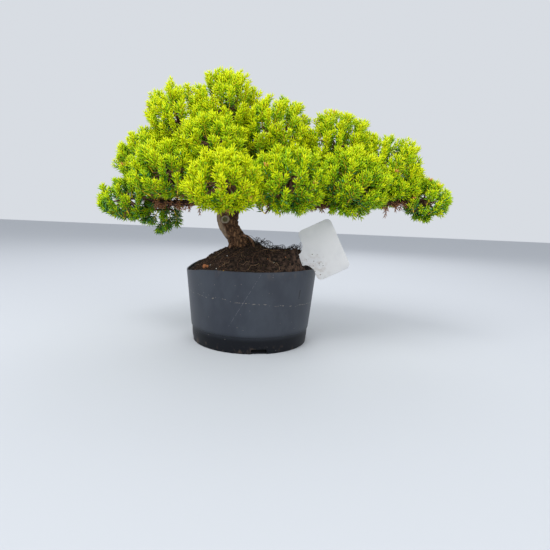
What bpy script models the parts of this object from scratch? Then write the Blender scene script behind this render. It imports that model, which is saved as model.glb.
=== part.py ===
"""Juniper bonsai in a cut-down plastic nursery pot, with its plant label.

Metres, +Z up.  The origin is the centre of the pot's flat underside, +X runs to the crown's long
right side and -Y is the front.  The trunk rises from a flat cut on the soil to the crown's top.  Every
bough is one tapering limb that leaves the trunk or a larger bough and ends where it enters a mass of
foliage, and every mass grows from one stem by the same seeded rule, inside its own space.
"""
import math
import random

import bmesh
import bpy
from mathutils import Vector
from mathutils.geometry import intersect_point_line

GAP = 0.0003                    # between pieces that touch
MERGE = 0.00001                 # points of one piece this close are one
SEAT_STEP = 0.00005             # step by which a limb is moved out until it is clear
UP = Vector((0.0, 0.0, 1.0))

# Pot: thin plastic, tapered, pressed out of round, with a rim that was cut down by hand
POT_BASE_RADIUS = 0.0640
POT_RIM_RADIUS_X = 0.0720
POT_RIM_RADIUS_Y = 0.0665
POT_HEIGHT = 0.0837
POT_WALL = 0.0012
POT_FLOOR = 0.0016
POT_FOOT_HEIGHT = 0.0170
POT_FOOT_STEP = 0.0005
POT_EDGE = 0.0012
POT_SIDES = 40
# Waves of the cut rim: order, and size along the cosine and the sine
RIM_WAVES = ((1, 0.0017, 0.0021), (2, -0.0018, -0.0012), (3, 0.0011, 0.0006), (4, -0.0008, -0.0002))
DRAIN_COUNT = 4
DRAIN_FIRST_ANGLE = math.radians(-77.9)
DRAIN_WIDTH = 0.0163
DRAIN_HEIGHT = 0.0052

# Soil: a mound whose flat top carries the trunk and runs on to the right
SOIL_TOP = 0.1020
SOIL_BELOW_RIM = 0.0025
SOIL_RINGS = 7
SOIL_SIDES = 30
MOUND_START = Vector((-0.0135, 0.0, 0.0))
MOUND_END = Vector((0.0370, -0.0200, 0.0))
MOUND_RADIUS = 0.0180

# Soil heaped against the trunk: its middle, and the radius and height of its profile
HEAP_MIDDLE = Vector((-0.0040, -0.0020, 0.0))
HEAP_PROFILE = ((0.0, 0.1150), (0.0060, 0.1087), (0.0125, 0.1051), (0.0205, 0.1017),
                (0.0205, 0.0985), (0.0, 0.0985))
HEAP_SIDES = 16
HEAP_CUT_BELOW = 0.0050         # depth below the soil's flat top to which the heap is cut out

# Trunk: height, sideways place, depth and radius of its sections
TRUNK_SECTIONS = (
    (SOIL_TOP + GAP, -0.0130, 0.000, 0.0128),
    (0.1080, -0.0148, 0.000, 0.0124),
    (0.1147, -0.0199, 0.000, 0.0126),
    (0.1210, -0.0243, 0.000, 0.0126),
    (0.1280, -0.0283, 0.000, 0.0117),
    (0.1357, -0.0292, 0.000, 0.0121),
    (0.1450, -0.0286, 0.001, 0.0120),
    (0.1640, -0.0310, 0.002, 0.0102),
    (0.1900, -0.0365, 0.004, 0.0078),
    (0.2180, -0.0380, 0.004, 0.0053),
    (0.2360, -0.0350, 0.004, 0.0036),
)
TRUNK_SIDES = 12
TRUNK_POINT = 0.0004            # rise of the blunt tip over the last section
FLARE_HEIGHT = 0.0120
FLARE_REACH = 0.0040
FLARE_LOBES = 5
SCAR_PLACE = Vector((-0.0302, -0.0138, 0.1330))      # centre of the cut face
SCAR_RADIUS = 0.0044
SCAR_LENGTH = 0.0080
SCAR_FACE_RADIUS = 0.0030
SCAR_DEPTH = 0.0008

# Two roots that leave the flare and dip into the soil: their bends and their thickness
SURFACE_ROOTS = {
    "surface_root_right": (((-0.0105, -0.0104, 0.1165), (-0.0052, -0.0122, 0.1157),
                            (-0.0005, -0.0126, 0.1110), (0.0012, -0.0126, 0.1070)), 0.0026),
    "surface_root_left": (((-0.0218, -0.0112, 0.1072), (-0.0228, -0.0130, 0.1068),
                           (-0.0236, -0.0140, 0.1052), (-0.0239, -0.0143, 0.1038)), 0.0030),
}

# Foliage masses: centre, and the reach sideways, in depth, upward and downward
MASSES = {
    "foliage_apex": ((-0.034, 0.004, 0.250), (0.040, 0.038, 0.044, 0.026)),
    "foliage_upper_left": ((-0.087, 0.008, 0.236), (0.038, 0.036, 0.045, 0.028)),
    "foliage_left_shoulder": ((-0.120, 0.002, 0.193), (0.035, 0.038, 0.038, 0.026)),
    "foliage_left_tip": ((-0.141, 0.000, 0.151), (0.030, 0.030, 0.023, 0.022)),
    "foliage_left_hanging": ((-0.109, 0.022, 0.142), (0.026, 0.026, 0.016, 0.030)),
    "foliage_left_front": ((-0.086, -0.046, 0.176), (0.038, 0.034, 0.034, 0.024)),
    "foliage_high_front": ((-0.042, -0.038, 0.206), (0.038, 0.032, 0.032, 0.026)),
    "foliage_front": ((-0.024, -0.080, 0.166), (0.038, 0.034, 0.030, 0.027)),
    "foliage_upper_right": ((0.020, 0.006, 0.226), (0.043, 0.038, 0.043, 0.029)),
    "foliage_right_hump": ((0.090, 0.010, 0.216), (0.044, 0.038, 0.043, 0.028)),
    "foliage_right_front": ((0.036, -0.052, 0.174), (0.040, 0.036, 0.034, 0.034)),
    "foliage_right_middle": ((0.100, -0.036, 0.176), (0.040, 0.036, 0.036, 0.036)),
    "foliage_right_shoulder": ((0.145, 0.000, 0.188), (0.039, 0.040, 0.047, 0.040)),
    "foliage_right_tip": ((0.186, -0.004, 0.163), (0.0285, 0.026, 0.024, 0.023)),
    "foliage_back_left": ((-0.084, 0.066, 0.184), (0.044, 0.038, 0.038, 0.028)),
    "foliage_back_middle": ((-0.010, 0.072, 0.196), (0.044, 0.038, 0.042, 0.030)),
    "foliage_back_right": ((0.070, 0.068, 0.182), (0.044, 0.038, 0.038, 0.030)),
}

# Boughs: what each grows from, how far along that, its mass, root and tip radius, and sag
BOUGHS = {
    "bough_left": ("trunk", 0.440, "foliage_left_tip", 0.0062, 0.0030, 0.010),
    "bough_right": ("trunk", 0.450, "foliage_right_tip", 0.0070, 0.0028, 0.012),
    "bough_front": ("trunk", 0.480, "foliage_front", 0.0042, 0.0025, -0.004),
    "bough_back_right": ("trunk", 0.510, "foliage_back_right", 0.0046, 0.0026, 0.004),
    "bough_back_left": ("trunk", 0.560, "foliage_back_left", 0.0044, 0.0026, 0.004),
    "bough_back_middle": ("trunk", 0.620, "foliage_back_middle", 0.0038, 0.0025, 0.000),
    "bough_high_front": ("trunk", 0.680, "foliage_high_front", 0.0034, 0.0024, 0.000),
    "bough_upper_right": ("trunk", 0.730, "foliage_upper_right", 0.0036, 0.0024, 0.002),
    "bough_upper_left": ("trunk", 0.780, "foliage_upper_left", 0.0034, 0.0024, 0.002),
    "bough_left_front": ("bough_left", 0.30, "foliage_left_front", 0.0032, 0.0022, 0.000),
    "bough_left_hanging": ("bough_left", 0.52, "foliage_left_hanging", 0.0026, 0.0020, -0.003),
    "bough_left_shoulder": ("bough_left", 0.62, "foliage_left_shoulder", 0.0034, 0.0023, 0.002),
    "bough_right_front": ("bough_right", 0.16, "foliage_right_front", 0.0034, 0.0023, 0.000),
    "bough_right_hump": ("bough_right", 0.34, "foliage_right_hump", 0.0040, 0.0024, 0.004),
    "bough_right_middle": ("bough_right", 0.50, "foliage_right_middle", 0.0034, 0.0023, 0.002),
    "bough_right_shoulder": ("bough_right", 0.64, "foliage_right_shoulder", 0.0034, 0.0023, 0.002),
}
BOUGH_SPANS = 5
BOUGH_ENTRY = 0.70              # share of a mass's reach at which its bough ends, at most
ENTRY_MARGIN = 0.0040           # least depth of a bough's tip inside its mass's space
ENTRY_DISTANCE = 0.0090         # least distance of a bough's tip from the limb it left

# Growth rule of a mass: a stem, a core, and shoots that stand out of the core
STEM_LEAD = 0.0040              # length for which the stem carries on in its bough's direction
STEM_WIDTH = 0.85               # radius at its root, as a share of the bough's tip
STEM_TAPER = 0.60               # radius at its end, as a share of that
CORE_SHARE = 0.80
CORE_LUMPS = 0.06
TUFT_SHARE = 0.97               # reach of the pointed tufts that the core's surface is drawn out to
SPACE_MARGIN = 0.0004           # between a mass and the flat walls of its space
LIMB_MARGIN = 0.0008            # between a mass's core and the limbs it is cut clear of
HEART_SHARE = 0.45              # share of the trunk's length that the masses grow away from
SHOOTS_TRIED = 48
SHOOTS_KEPT = 6
SHOOT_ROOT = 0.52               # share of the mass's reach at which a shoot is rooted
SHOOT_LENGTHS = (1.0, 0.88, 0.76, 0.66)
SHOOT_SHORTEST = 0.92           # a shoot's own size lies between this and 1
SHOOT_WIDTH = 0.25              # radius over its needles, as a share of the mass's size
SHOOT_STALK = 0.32              # radius of the stalk, as a share of that radius
SHOOT_FIRST_WHORL = 0.46
SHOOT_NEEDLES_END = 0.94
SHOOT_WHORLS = 2
SHOOT_TAPER = 0.30              # how much narrower the last whorl is
NEEDLES_PER_WHORL = 3
NEEDLE_LEAN = 0.60              # how far needle tips stand forward, in whorl spacings
NEEDLE_ROOT = 0.42              # radius between the needles, as a share of the whorl's
SHOOT_SPREAD = 3.00             # least distance between neighbours, in shoot radii
SHOOT_MARGIN = 0.0018           # between a shoot's needles and any limb
SHOOT_BODY = 0.25               # half thickness kept clear of limbs, as a share of the spread
SHOOT_MIDDLES = (0.55, 0.80, 1.00)                   # places along a shoot where the spread is kept

# Plant label: a T-shaped tag whose stake is pushed into the soil's right end
LABEL_NECK = Vector((0.0594, -0.0382, 0.0982))
LABEL_TILT = math.radians(27.0)
LABEL_LENGTH = 0.0555
LABEL_WIDTH = 0.0362
LABEL_THICKNESS = 0.0007
LABEL_CORNER = 0.0050
LABEL_SHOULDER = 0.0140
LABEL_NECK_HALF = 0.0066
LABEL_NECK_LENGTH = 0.0065
LABEL_STAKE_HALF = 0.0055
LABEL_STAKE_LENGTH = 0.0480
LABEL_STAKE_START = 0.0080      # below the neck
LABEL_POINT_LENGTH = 0.0100
LABEL_POINT_SHARES = (0.80, 0.15)                    # width of the point's root and end, over the stake's
LABEL_NECK_STEPS = 4


# ---------------------------------------------------------------- general helpers
def clear_scene():
    for obj in list(bpy.data.objects):
        bpy.data.objects.remove(obj)


def new_collection(name):
    group = bpy.data.collections.new(name)
    bpy.context.scene.collection.children.link(group)
    return group


def material(name, colour, roughness, metallic=0.0):
    mat = bpy.data.materials.new(name)
    mat.use_nodes = True
    shader = mat.node_tree.nodes["Principled BSDF"]
    shader.inputs["Base Color"].default_value = (*colour, 1.0)
    shader.inputs["Roughness"].default_value = roughness
    shader.inputs["Metallic"].default_value = metallic
    return mat


def mesh_object(name, mesh, group):
    obj = bpy.data.objects.new(name, mesh)
    group.objects.link(obj)
    return obj


def evaluated_mesh(obj):
    bpy.context.view_layer.update()
    graph = bpy.context.evaluated_depsgraph_get()
    return bpy.data.meshes.new_from_object(obj.evaluated_get(graph))


def removed(objects):
    for obj in list(objects):
        bpy.data.objects.remove(obj)


def applied(obj):
    """The object with its modifiers made part of its mesh."""
    mesh = evaluated_mesh(obj)
    obj.modifiers.clear()
    obj.data = mesh
    return obj


def filled_curve(name, curve, group):
    """A curve with closed ends as one welded mesh that faces out."""
    path = mesh_object(name + "_path", curve, group)
    mesh = evaluated_mesh(path)
    removed([path])
    work = bmesh.new()
    work.from_mesh(mesh)
    bmesh.ops.remove_doubles(work, verts=work.verts, dist=MERGE)
    bmesh.ops.recalc_face_normals(work, faces=work.faces)
    work.to_mesh(mesh)
    work.free()
    mesh.name = name
    return mesh_object(name, mesh, group)


def poly_spline(curve, points):
    """A straight-sided spline of a curve through the given places."""
    spline = curve.splines.new("POLY")
    spline.points.add(len(points) - 1)
    for knot, point in zip(spline.points, points):
        knot.co = (*point, 1.0)
    return spline


def warped(obj, rule):
    """The object with each vertex moved to rule(place)."""
    for vertex in obj.data.vertices:
        vertex.co = rule(vertex.co.copy())
    obj.data.update()
    return obj


def finished(obj, mat, sharp_degrees=35.0):
    obj.data.materials.clear()
    obj.data.materials.append(mat)
    obj.data.shade_smooth()
    obj.data.set_sharp_from_angle(angle=math.radians(sharp_degrees))
    return obj


def turned(name, profile, steps, group):
    """A profile of (radius, height) points, top to bottom on the outside, turned about Z."""
    mesh = bpy.data.meshes.new(name)
    points = [(radius, 0.0, height) for radius, height in profile]
    edges = [(i, i + 1) for i in range(len(points) - 1)]
    if profile[0][0] > 0.0:
        edges.append((len(points) - 1, 0))
    mesh.from_pydata(points, edges, [])
    obj = mesh_object(name, mesh, group)
    screw = obj.modifiers.new("turn", "SCREW")
    screw.steps = steps
    screw.render_steps = steps
    screw.use_merge_vertices = True
    screw.merge_threshold = MERGE
    return applied(obj)


def boolean(obj, operation, other=None, collection=None, solver="EXACT"):
    cut = obj.modifiers.new(operation.lower(), "BOOLEAN")
    cut.operation = operation
    cut.solver = solver
    if collection is None:
        cut.object = other
    else:
        cut.operand_type = "COLLECTION"
        cut.collection = collection
    return applied(obj)


def as_cutter(obj):
    obj.hide_render = True
    obj.display_type = "WIRE"
    return obj


def smooth(share):
    share = min(1.0, max(0.0, share))
    return share * share * (3.0 - 2.0 * share)


# ---------------------------------------------------------------- pot
def rim_height(angle):
    height = POT_HEIGHT
    for order, along, across in RIM_WAVES:
        height += along * math.cos(order * angle) + across * math.sin(order * angle)
    return height


def pot_shape(place):
    """Moves a point of the round pot, POT_HEIGHT tall, to the oval pot with the hand-cut rim."""
    angle = math.atan2(place.y, place.x)
    share = place.z / POT_HEIGHT
    deep = (1.0 - share) + share * POT_RIM_RADIUS_Y / POT_RIM_RADIUS_X
    height = place.z
    if place.z > POT_FOOT_HEIGHT:
        above = (place.z - POT_FOOT_HEIGHT) / (POT_HEIGHT - POT_FOOT_HEIGHT)
        height = POT_FOOT_HEIGHT + above * (rim_height(angle) - POT_FOOT_HEIGHT)
    return Vector((place.x, place.y * deep, height))


def pot_radius(height):
    """Outer radius of the round pot at a height."""
    share = height / POT_HEIGHT
    radius = POT_BASE_RADIUS + share * (POT_RIM_RADIUS_X - POT_BASE_RADIUS)
    return radius + (POT_FOOT_STEP if height > POT_FOOT_HEIGHT else 0.0)


def drain_cutters(group):
    cutters = []
    for index in range(DRAIN_COUNT):
        angle = DRAIN_FIRST_ANGLE + index * 2.0 * math.pi / DRAIN_COUNT
        bpy.ops.mesh.primitive_cube_add(size=1.0)
        cutter = bpy.context.object
        cutter.name = f"drain_cutter_{index + 1}"
        for holder in list(cutter.users_collection):
            holder.objects.unlink(cutter)
        group.objects.link(cutter)
        cutter.scale = (4.0 * POT_WALL, DRAIN_WIDTH, 2.0 * DRAIN_HEIGHT)
        cutter.rotation_euler = (0.0, 0.0, angle)
        reach = POT_BASE_RADIUS
        cutter.location = (reach * math.cos(angle), reach * math.sin(angle), 0.0)
        cutters.append(as_cutter(cutter))
    return cutters


def make_pot(group, cutter_group, mat):
    profile = [
        (pot_radius(POT_HEIGHT), POT_HEIGHT),
        (pot_radius(POT_FOOT_HEIGHT) + POT_FOOT_STEP, POT_FOOT_HEIGHT + POT_FOOT_STEP),
        (pot_radius(POT_FOOT_HEIGHT), POT_FOOT_HEIGHT),
        (pot_radius(POT_EDGE), POT_EDGE),
        (POT_BASE_RADIUS - POT_EDGE, 0.0),
        (0.0, 0.0),
        (0.0, POT_FLOOR),
        (pot_radius(POT_FLOOR) - POT_WALL, POT_FLOOR),
        (pot_radius(POT_FOOT_HEIGHT) - POT_WALL, POT_FOOT_HEIGHT),
        (pot_radius(POT_HEIGHT) - POT_WALL, POT_HEIGHT),
    ]
    pot = warped(turned("pot", profile, POT_SIDES, group), pot_shape)
    for cutter in drain_cutters(cutter_group):
        boolean(pot, "DIFFERENCE", other=cutter)
    return finished(pot, mat, 30.0)


# ---------------------------------------------------------------- soil
def soil_edge(angle, height):
    """A point on the soil's side: the pot's inner wall, one gap clear."""
    radius = pot_radius(height) - POT_WALL - 2.0 * GAP
    flat = Vector((radius * math.cos(angle), radius * math.sin(angle), height))
    return pot_shape(flat)


def mound_distance(place):
    """Distance outside the mound's flat top, which is a long round-ended patch."""
    flat = Vector((place.x, place.y, 0.0))
    nearest, share = intersect_point_line(flat, MOUND_START, MOUND_END)
    if share < 0.0:
        nearest = MOUND_START
    elif share > 1.0:
        nearest = MOUND_END
    return max(0.0, (flat - nearest).length - MOUND_RADIUS)


def soil_height(place, wall_place):
    outside = mound_distance(place)
    if outside == 0.0:
        return SOIL_TOP
    to_wall = (Vector((wall_place.x, wall_place.y)) - Vector((place.x, place.y))).length
    share = smooth(outside / (outside + to_wall))
    return SOIL_TOP + (wall_place.z - SOIL_TOP) * share


def make_heap(trunk, group):
    """The heaped soil, cut clear of the trunk and of the surface roots."""
    heap = turned("heap", HEAP_PROFILE, HEAP_SIDES, group)
    warped(heap, lambda place: place + HEAP_MIDDLE)
    margin = 2.0 * GAP
    cutters = [trunk_blank("heap_trunk", trunk, group, margin)]
    for name, (_, thickness) in SURFACE_ROOTS.items():
        points = surface_root_points(name, trunk)
        points.append(points[-1] - UP * HEAP_CUT_BELOW)
        radii = [0.5 * thickness + margin] * len(points)
        cutters.append(tube("heap_" + name, points, radii, group))
    for cutter in cutters:
        boolean(heap, "DIFFERENCE", other=cutter)
    removed(cutters)
    return heap


def make_soil(trunk, group, mat):
    """Rings of points: the floor, the side up to the wall line, and the mound's top."""
    mesh = bmesh.new()
    rings = []
    angles = [2.0 * math.pi * i / SOIL_SIDES for i in range(SOIL_SIDES)]
    for height in (POT_FLOOR + GAP, POT_FOOT_HEIGHT):
        rings.append([mesh.verts.new(soil_edge(angle, height)) for angle in angles])
    line = [soil_edge(angle, POT_HEIGHT - SOIL_BELOW_RIM) for angle in angles]
    rings.append([mesh.verts.new(place) for place in line])
    for ring in range(1, SOIL_RINGS):
        share = 1.0 - ring / SOIL_RINGS
        row = []
        for wall_place in line:
            place = Vector((wall_place.x * share, wall_place.y * share, 0.0))
            place += (MOUND_START + MOUND_END) * 0.5 * (1.0 - share)
            place.z = soil_height(place, wall_place)
            row.append(mesh.verts.new(place))
        rings.append(row)
    for lower, upper in zip(rings, rings[1:]):
        for i in range(SOIL_SIDES):
            j = (i + 1) % SOIL_SIDES
            mesh.faces.new((lower[i], lower[j], upper[j], upper[i]))
    mesh.faces.new(list(reversed(rings[0])))
    mesh.faces.new(rings[-1])
    data = bpy.data.meshes.new("soil")
    mesh.to_mesh(data)
    mesh.free()
    soil = mesh_object("soil", data, group)
    heap = make_heap(trunk, group)
    boolean(soil, "UNION", other=heap)
    removed([heap])
    return finished(soil, mat, 60.0)


# ---------------------------------------------------------------- trunk, roots and boughs
def eased(points, spans):
    """Points on a smooth curve through the given ones, each with any number of coordinates."""
    rows = []
    for i in range(len(points) - 1):
        before = points[max(0, i - 1)]
        after = points[min(len(points) - 1, i + 2)]
        for k in range(spans):
            t = k / spans
            row = []
            for a, b, c, d in zip(before, points[i], points[i + 1], after):
                row.append(0.5 * (2.0 * b + (c - a) * t + (2.0 * a - 5.0 * b + 4.0 * c - d) * t * t
                                  + (3.0 * b - a - 3.0 * c + d) * t ** 3))
            rows.append(row)
    rows.append(list(points[-1]))
    return rows


class Limb:
    """A tapering limb: the points of its axis and the radius at each."""

    def __init__(self, points, radii):
        self.points = points
        self.radii = radii

    def at(self, share):
        """Axis point and radius at a share of the limb's length."""
        lengths = [0.0]
        for a, b in zip(self.points, self.points[1:]):
            lengths.append(lengths[-1] + (b - a).length)
        wanted = share * lengths[-1]
        for i in range(1, len(lengths)):
            if wanted <= lengths[i]:
                t = (wanted - lengths[i - 1]) / (lengths[i] - lengths[i - 1])
                point = self.points[i - 1].lerp(self.points[i], t)
                return point, self.radii[i - 1] + t * (self.radii[i] - self.radii[i - 1])
        return self.points[-1], self.radii[-1]

    def clearance(self, place):
        """Distance from a place to the limb's surface."""
        best = math.inf
        for i in range(len(self.points) - 1):
            nearest, t = intersect_point_line(place, self.points[i], self.points[i + 1])
            t = min(1.0, max(0.0, t))
            nearest = self.points[i].lerp(self.points[i + 1], t)
            radius = self.radii[i] + t * (self.radii[i + 1] - self.radii[i])
            best = min(best, (place - nearest).length - radius)
        return best


def trunk_limb():
    rows = eased([(x, y, z, r) for z, x, y, r in TRUNK_SECTIONS], 2)
    return Limb([Vector(row[:3]) for row in rows], [row[3] for row in rows])


def flare(height, angle):
    """How far the root flare stands out of the trunk at a height and angle."""
    share = 1.0 - (height - SOIL_TOP) / FLARE_HEIGHT
    if share <= 0.0:
        return 0.0
    lobe = 0.55 + 0.45 * math.cos(FLARE_LOBES * angle + 0.6)
    return FLARE_REACH * share * share * lobe


def trunk_blank(name, limb, group, margin=0.0):
    """Level round sections turned about Z, then shifted to the trunk's lean and flare.

    With a margin the blank is that much wider and carries on straight down into the soil.
    """
    heights = [point.z for point in limb.points]
    foot = heights[0] if margin == 0.0 else heights[0] - HEAP_CUT_BELOW
    profile = [(0.0, heights[-1] + TRUNK_POINT)]
    profile += [(radius + margin, height)
                for radius, height in zip(reversed(limb.radii), reversed(heights))]
    if margin > 0.0:
        profile.append((limb.radii[0] + margin, foot))
    profile.append((0.0, foot))

    def lean(place):
        index = min(range(len(heights)), key=lambda i: abs(heights[i] - place.z))
        axis = limb.points[index]
        radius = Vector((place.x, place.y)).length
        angle = math.atan2(place.y, place.x)
        if radius > 0.0:
            radius += flare(max(place.z, heights[0]), angle)
        return Vector((axis.x + radius * math.cos(angle), axis.y + radius * math.sin(angle), place.z))

    return warped(turned(name, profile, TRUNK_SIDES, group), lean)


def make_trunk(limb, group, mat):
    trunk = trunk_blank("trunk", limb, group)
    add_scar(trunk)
    return finished(trunk, mat, 50.0)


def add_scar(trunk):
    """The collar of a pruned bough on the trunk's front, with a shallow cut face in it."""
    steps = ((SCAR_RADIUS, SCAR_LENGTH, SCAR_PLACE.y + 0.5 * SCAR_LENGTH, "UNION"),
             (SCAR_FACE_RADIUS, 2.0 * SCAR_DEPTH, SCAR_PLACE.y, "DIFFERENCE"))
    for radius, depth, middle, operation in steps:
        bpy.ops.mesh.primitive_cylinder_add(radius=radius, depth=depth, vertices=12)
        plug = bpy.context.object
        plug.rotation_euler = (math.radians(90.0), 0.0, 0.0)
        plug.location = (SCAR_PLACE.x, middle, SCAR_PLACE.z)
        boolean(trunk, operation, other=plug)
        removed([plug])


def tube(name, points, radii, group, resolution=1):
    """A round limb along an axis, with closed flat ends."""
    curve = bpy.data.curves.new(name, "CURVE")
    curve.dimensions = "3D"
    curve.bevel_depth = 1.0
    curve.bevel_resolution = resolution
    curve.use_fill_caps = True
    for knot, radius in zip(poly_spline(curve, points).points, radii):
        knot.radius = radius
    return filled_curve(name, curve, group)


def entry_point(mass_name, start, parent):
    """Where a bough from start on its parent enters a mass."""
    centre, reach = MASSES[mass_name]
    centre = Vector(centre)
    toward = (start - centre).normalized()
    distance = BOUGH_ENTRY * mass_reach(mass_name, toward)
    point = centre + toward * distance
    while space_left(mass_name, point) < ENTRY_MARGIN or parent.clearance(point) < ENTRY_DISTANCE:
        distance *= 0.95
        point = centre + toward * distance
    return point


def seated_start(parent, origin, toward, root_radius):
    """The first place along a direction where a limb's flat root lies one gap clear of its parent."""
    side = toward.orthogonal().normalized()
    other = toward.cross(side)
    rim = []
    for k in range(12):
        angle = math.radians(30.0 * k)
        rim.append((side * math.cos(angle) + other * math.sin(angle)) * root_radius)
    distance = 0.0
    while True:
        place = origin + toward * distance
        if min(parent.clearance(place + offset) for offset in rim + [Vector()]) >= GAP:
            return place
        distance += SEAT_STEP


def bough_limb(name, limbs):
    """A bowed axis from its parent's surface to the mass it carries."""
    parent_name, share, mass_name, root_radius, tip_radius, sag = BOUGHS[name]
    parent = limbs[parent_name]
    origin = parent.at(share)[0]
    tip = entry_point(mass_name, origin, parent)
    toward = (tip - origin).normalized()
    for _ in range(3):
        start = seated_start(parent, origin, toward, root_radius)
        bend = (start + tip) * 0.5 - UP * sag
        toward = (bend - start).normalized()
    points = []
    radii = []
    for i in range(BOUGH_SPANS + 1):
        t = i / BOUGH_SPANS
        points.append(start * (1.0 - t) ** 2 + bend * 2.0 * t * (1.0 - t) + tip * t * t)
        radii.append(root_radius + (tip_radius - root_radius) * t)
    return Limb(points, radii)


def surface_root_points(name, trunk):
    """Axis of a surface root from the trunk's side down to the soil's flat top."""
    bends, thickness = SURFACE_ROOTS[name]
    knots = [tuple(point) for point in bends]
    knots.append((bends[-1][0], bends[-1][1], SOIL_TOP + GAP))
    points = [Vector(row) for row in eased(knots, 2)]
    axis = min(trunk.points, key=lambda place: abs(place.z - points[0].z))
    outward = Vector((points[0].x - axis.x, points[0].y - axis.y, 0.0)).normalized()
    while trunk.clearance(points[0]) < 0.5 * thickness + GAP:
        points[0] += outward * SEAT_STEP
    return points


def make_surface_root(name, trunk, group, mat):
    points = surface_root_points(name, trunk)
    radii = [0.5 * SURFACE_ROOTS[name][1]] * len(points)
    return finished(tube(name, points, radii, group), mat)


# ---------------------------------------------------------------- foliage masses
def mass_reach(name, toward):
    """How far a mass reaches from its centre in a direction."""
    wide, deep, high, low = MASSES[name][1]
    rise = high if toward.z > 0.0 else low
    return 1.0 / math.sqrt((toward.x / wide) ** 2 + (toward.y / deep) ** 2 + (toward.z / rise) ** 2)


def mass_weight(name):
    wide, deep = MASSES[name][1][:2]
    return 0.5 * (wide + deep)


def space_left(name, place):
    """How far a place lies inside the flat walls between this mass and the others."""
    centre = Vector(MASSES[name][0])
    own = (place - centre).length_squared - mass_weight(name) ** 2
    best = math.inf
    for other in MASSES:
        if other == name:
            continue
        far = Vector(MASSES[other][0])
        theirs = (place - far).length_squared - mass_weight(other) ** 2
        best = min(best, (theirs - own) / (2.0 * (far - centre).length))
    return best


def spiral_directions(count, pole, rng):
    """Directions spread evenly over a sphere by the golden angle, starting at the pole."""
    side = pole.orthogonal().normalized()
    other = pole.cross(side)
    turn = rng.uniform(0.0, 2.0 * math.pi)
    directions = [pole]
    for k in range(1, count):
        level = 1.0 - 1.75 * k / count
        radius = math.sqrt(max(0.0, 1.0 - level * level))
        angle = turn + k * math.pi * (3.0 - math.sqrt(5.0))
        toward = pole * level + (side * math.cos(angle) + other * math.sin(angle)) * radius
        toward += Vector((rng.uniform(-0.1, 0.1), rng.uniform(-0.1, 0.1), rng.uniform(-0.1, 0.1)))
        directions.append(toward.normalized())
    return directions


def place_on_core(name, toward, share):
    """The place at a share of a mass's reach in a direction, kept inside its own space."""
    centre = Vector(MASSES[name][0])
    radius = share * mass_reach(name, toward)
    while space_left(name, centre + toward * radius) < 2.0 * SPACE_MARGIN:
        radius *= 0.97
    return centre + toward * radius


def make_core(name, rng, group):
    """A lumpy ball of foliage, with the surface drawn out to a point at every few corners."""
    work = bmesh.new()
    bmesh.ops.create_icosphere(work, subdivisions=3, radius=1.0)
    tufts = set()
    for vertex in work.verts:
        if not any(edge.other_vert(vertex) in tufts for edge in vertex.link_edges):
            tufts.add(vertex)
    for vertex in work.verts:
        share = TUFT_SHARE if vertex in tufts else CORE_SHARE
        share *= 1.0 - rng.uniform(0.0, 2.0 * CORE_LUMPS)
        vertex.co = place_on_core(name, vertex.co.normalized(), share)
    data = bpy.data.meshes.new(name)
    work.to_mesh(data)
    work.free()
    return mesh_object(name, data, group)


def shoot_points(root, tip, radius, turn):
    """Rings of a shoot: a stalk, then whorls whose needle tips stand forward and out."""
    axis = tip - root
    along = axis.normalized()
    side = along.orthogonal().normalized()
    other = along.cross(side)
    length = axis.length
    sides = 2 * NEEDLES_PER_WHORL
    spacing = (SHOOT_NEEDLES_END - SHOOT_FIRST_WHORL) / SHOOT_WHORLS
    rings = [[root + (side * math.cos(a) + other * math.sin(a)) * SHOOT_STALK * radius
              for a in (turn + math.pi * 2.0 * j / NEEDLES_PER_WHORL for j in range(NEEDLES_PER_WHORL))]]
    for k in range(SHOOT_WHORLS):
        share = SHOOT_FIRST_WHORL + k * spacing
        whorl = radius * (1.0 - SHOOT_TAPER * k / (SHOOT_WHORLS - 1))
        ring = []
        for j in range(sides):
            angle = turn + math.pi * 2.0 * j / sides
            out = side * math.cos(angle) + other * math.sin(angle)
            if (j + k) % 2 == 0:
                ring.append(root + along * length * (share + NEEDLE_LEAN * spacing) + out * whorl)
            else:
                ring.append(root + along * length * share + out * NEEDLE_ROOT * whorl)
        rings.append(ring)
    return rings


def shoot_fits(name, rings, root, tip, limbs, others, spread):
    middles = [root.lerp(tip, share) for share in SHOOT_MIDDLES]
    if any((here - there).length < spread for here in middles for there in others):
        return False
    places = [place for ring in rings for place in ring] + [tip]
    if min(space_left(name, place) for place in places) < SPACE_MARGIN:
        return False
    middle = [root.lerp(tip, 0.1 * k) for k in range(10)]
    return all(min(limb.clearance(place) for place in places) > SHOOT_MARGIN
               and min(limb.clearance(place) for place in middle) > LIMB_MARGIN + SHOOT_BODY * spread
               for limb in limbs)


def make_shoot(name, rings, tip, group):
    mesh = bmesh.new()
    rows = [[mesh.verts.new(place) for place in ring] for ring in rings]
    stalk = rows.pop(0)
    sides = len(rows[0])
    for i, vertex in enumerate(stalk):
        after = stalk[(i + 1) % len(stalk)]
        out, between, out_after = (rows[0][(2 * i + k) % sides] for k in range(3))
        mesh.faces.new((vertex, between, out))
        mesh.faces.new((vertex, after, between))
        mesh.faces.new((after, out_after, between))
    mesh.faces.new(list(reversed(stalk)))
    for lower, upper in zip(rows, rows[1:]):
        for i in range(sides):
            j = (i + 1) % sides
            mesh.faces.new((lower[i], lower[j], upper[j]))
            mesh.faces.new((lower[i], upper[j], upper[i]))
    point = mesh.verts.new(tip)
    for i in range(sides):
        mesh.faces.new((rows[-1][i], rows[-1][(i + 1) % sides], point))
    data = bpy.data.meshes.new(name)
    mesh.to_mesh(data)
    mesh.free()
    return mesh_object(name, data, group)


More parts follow.
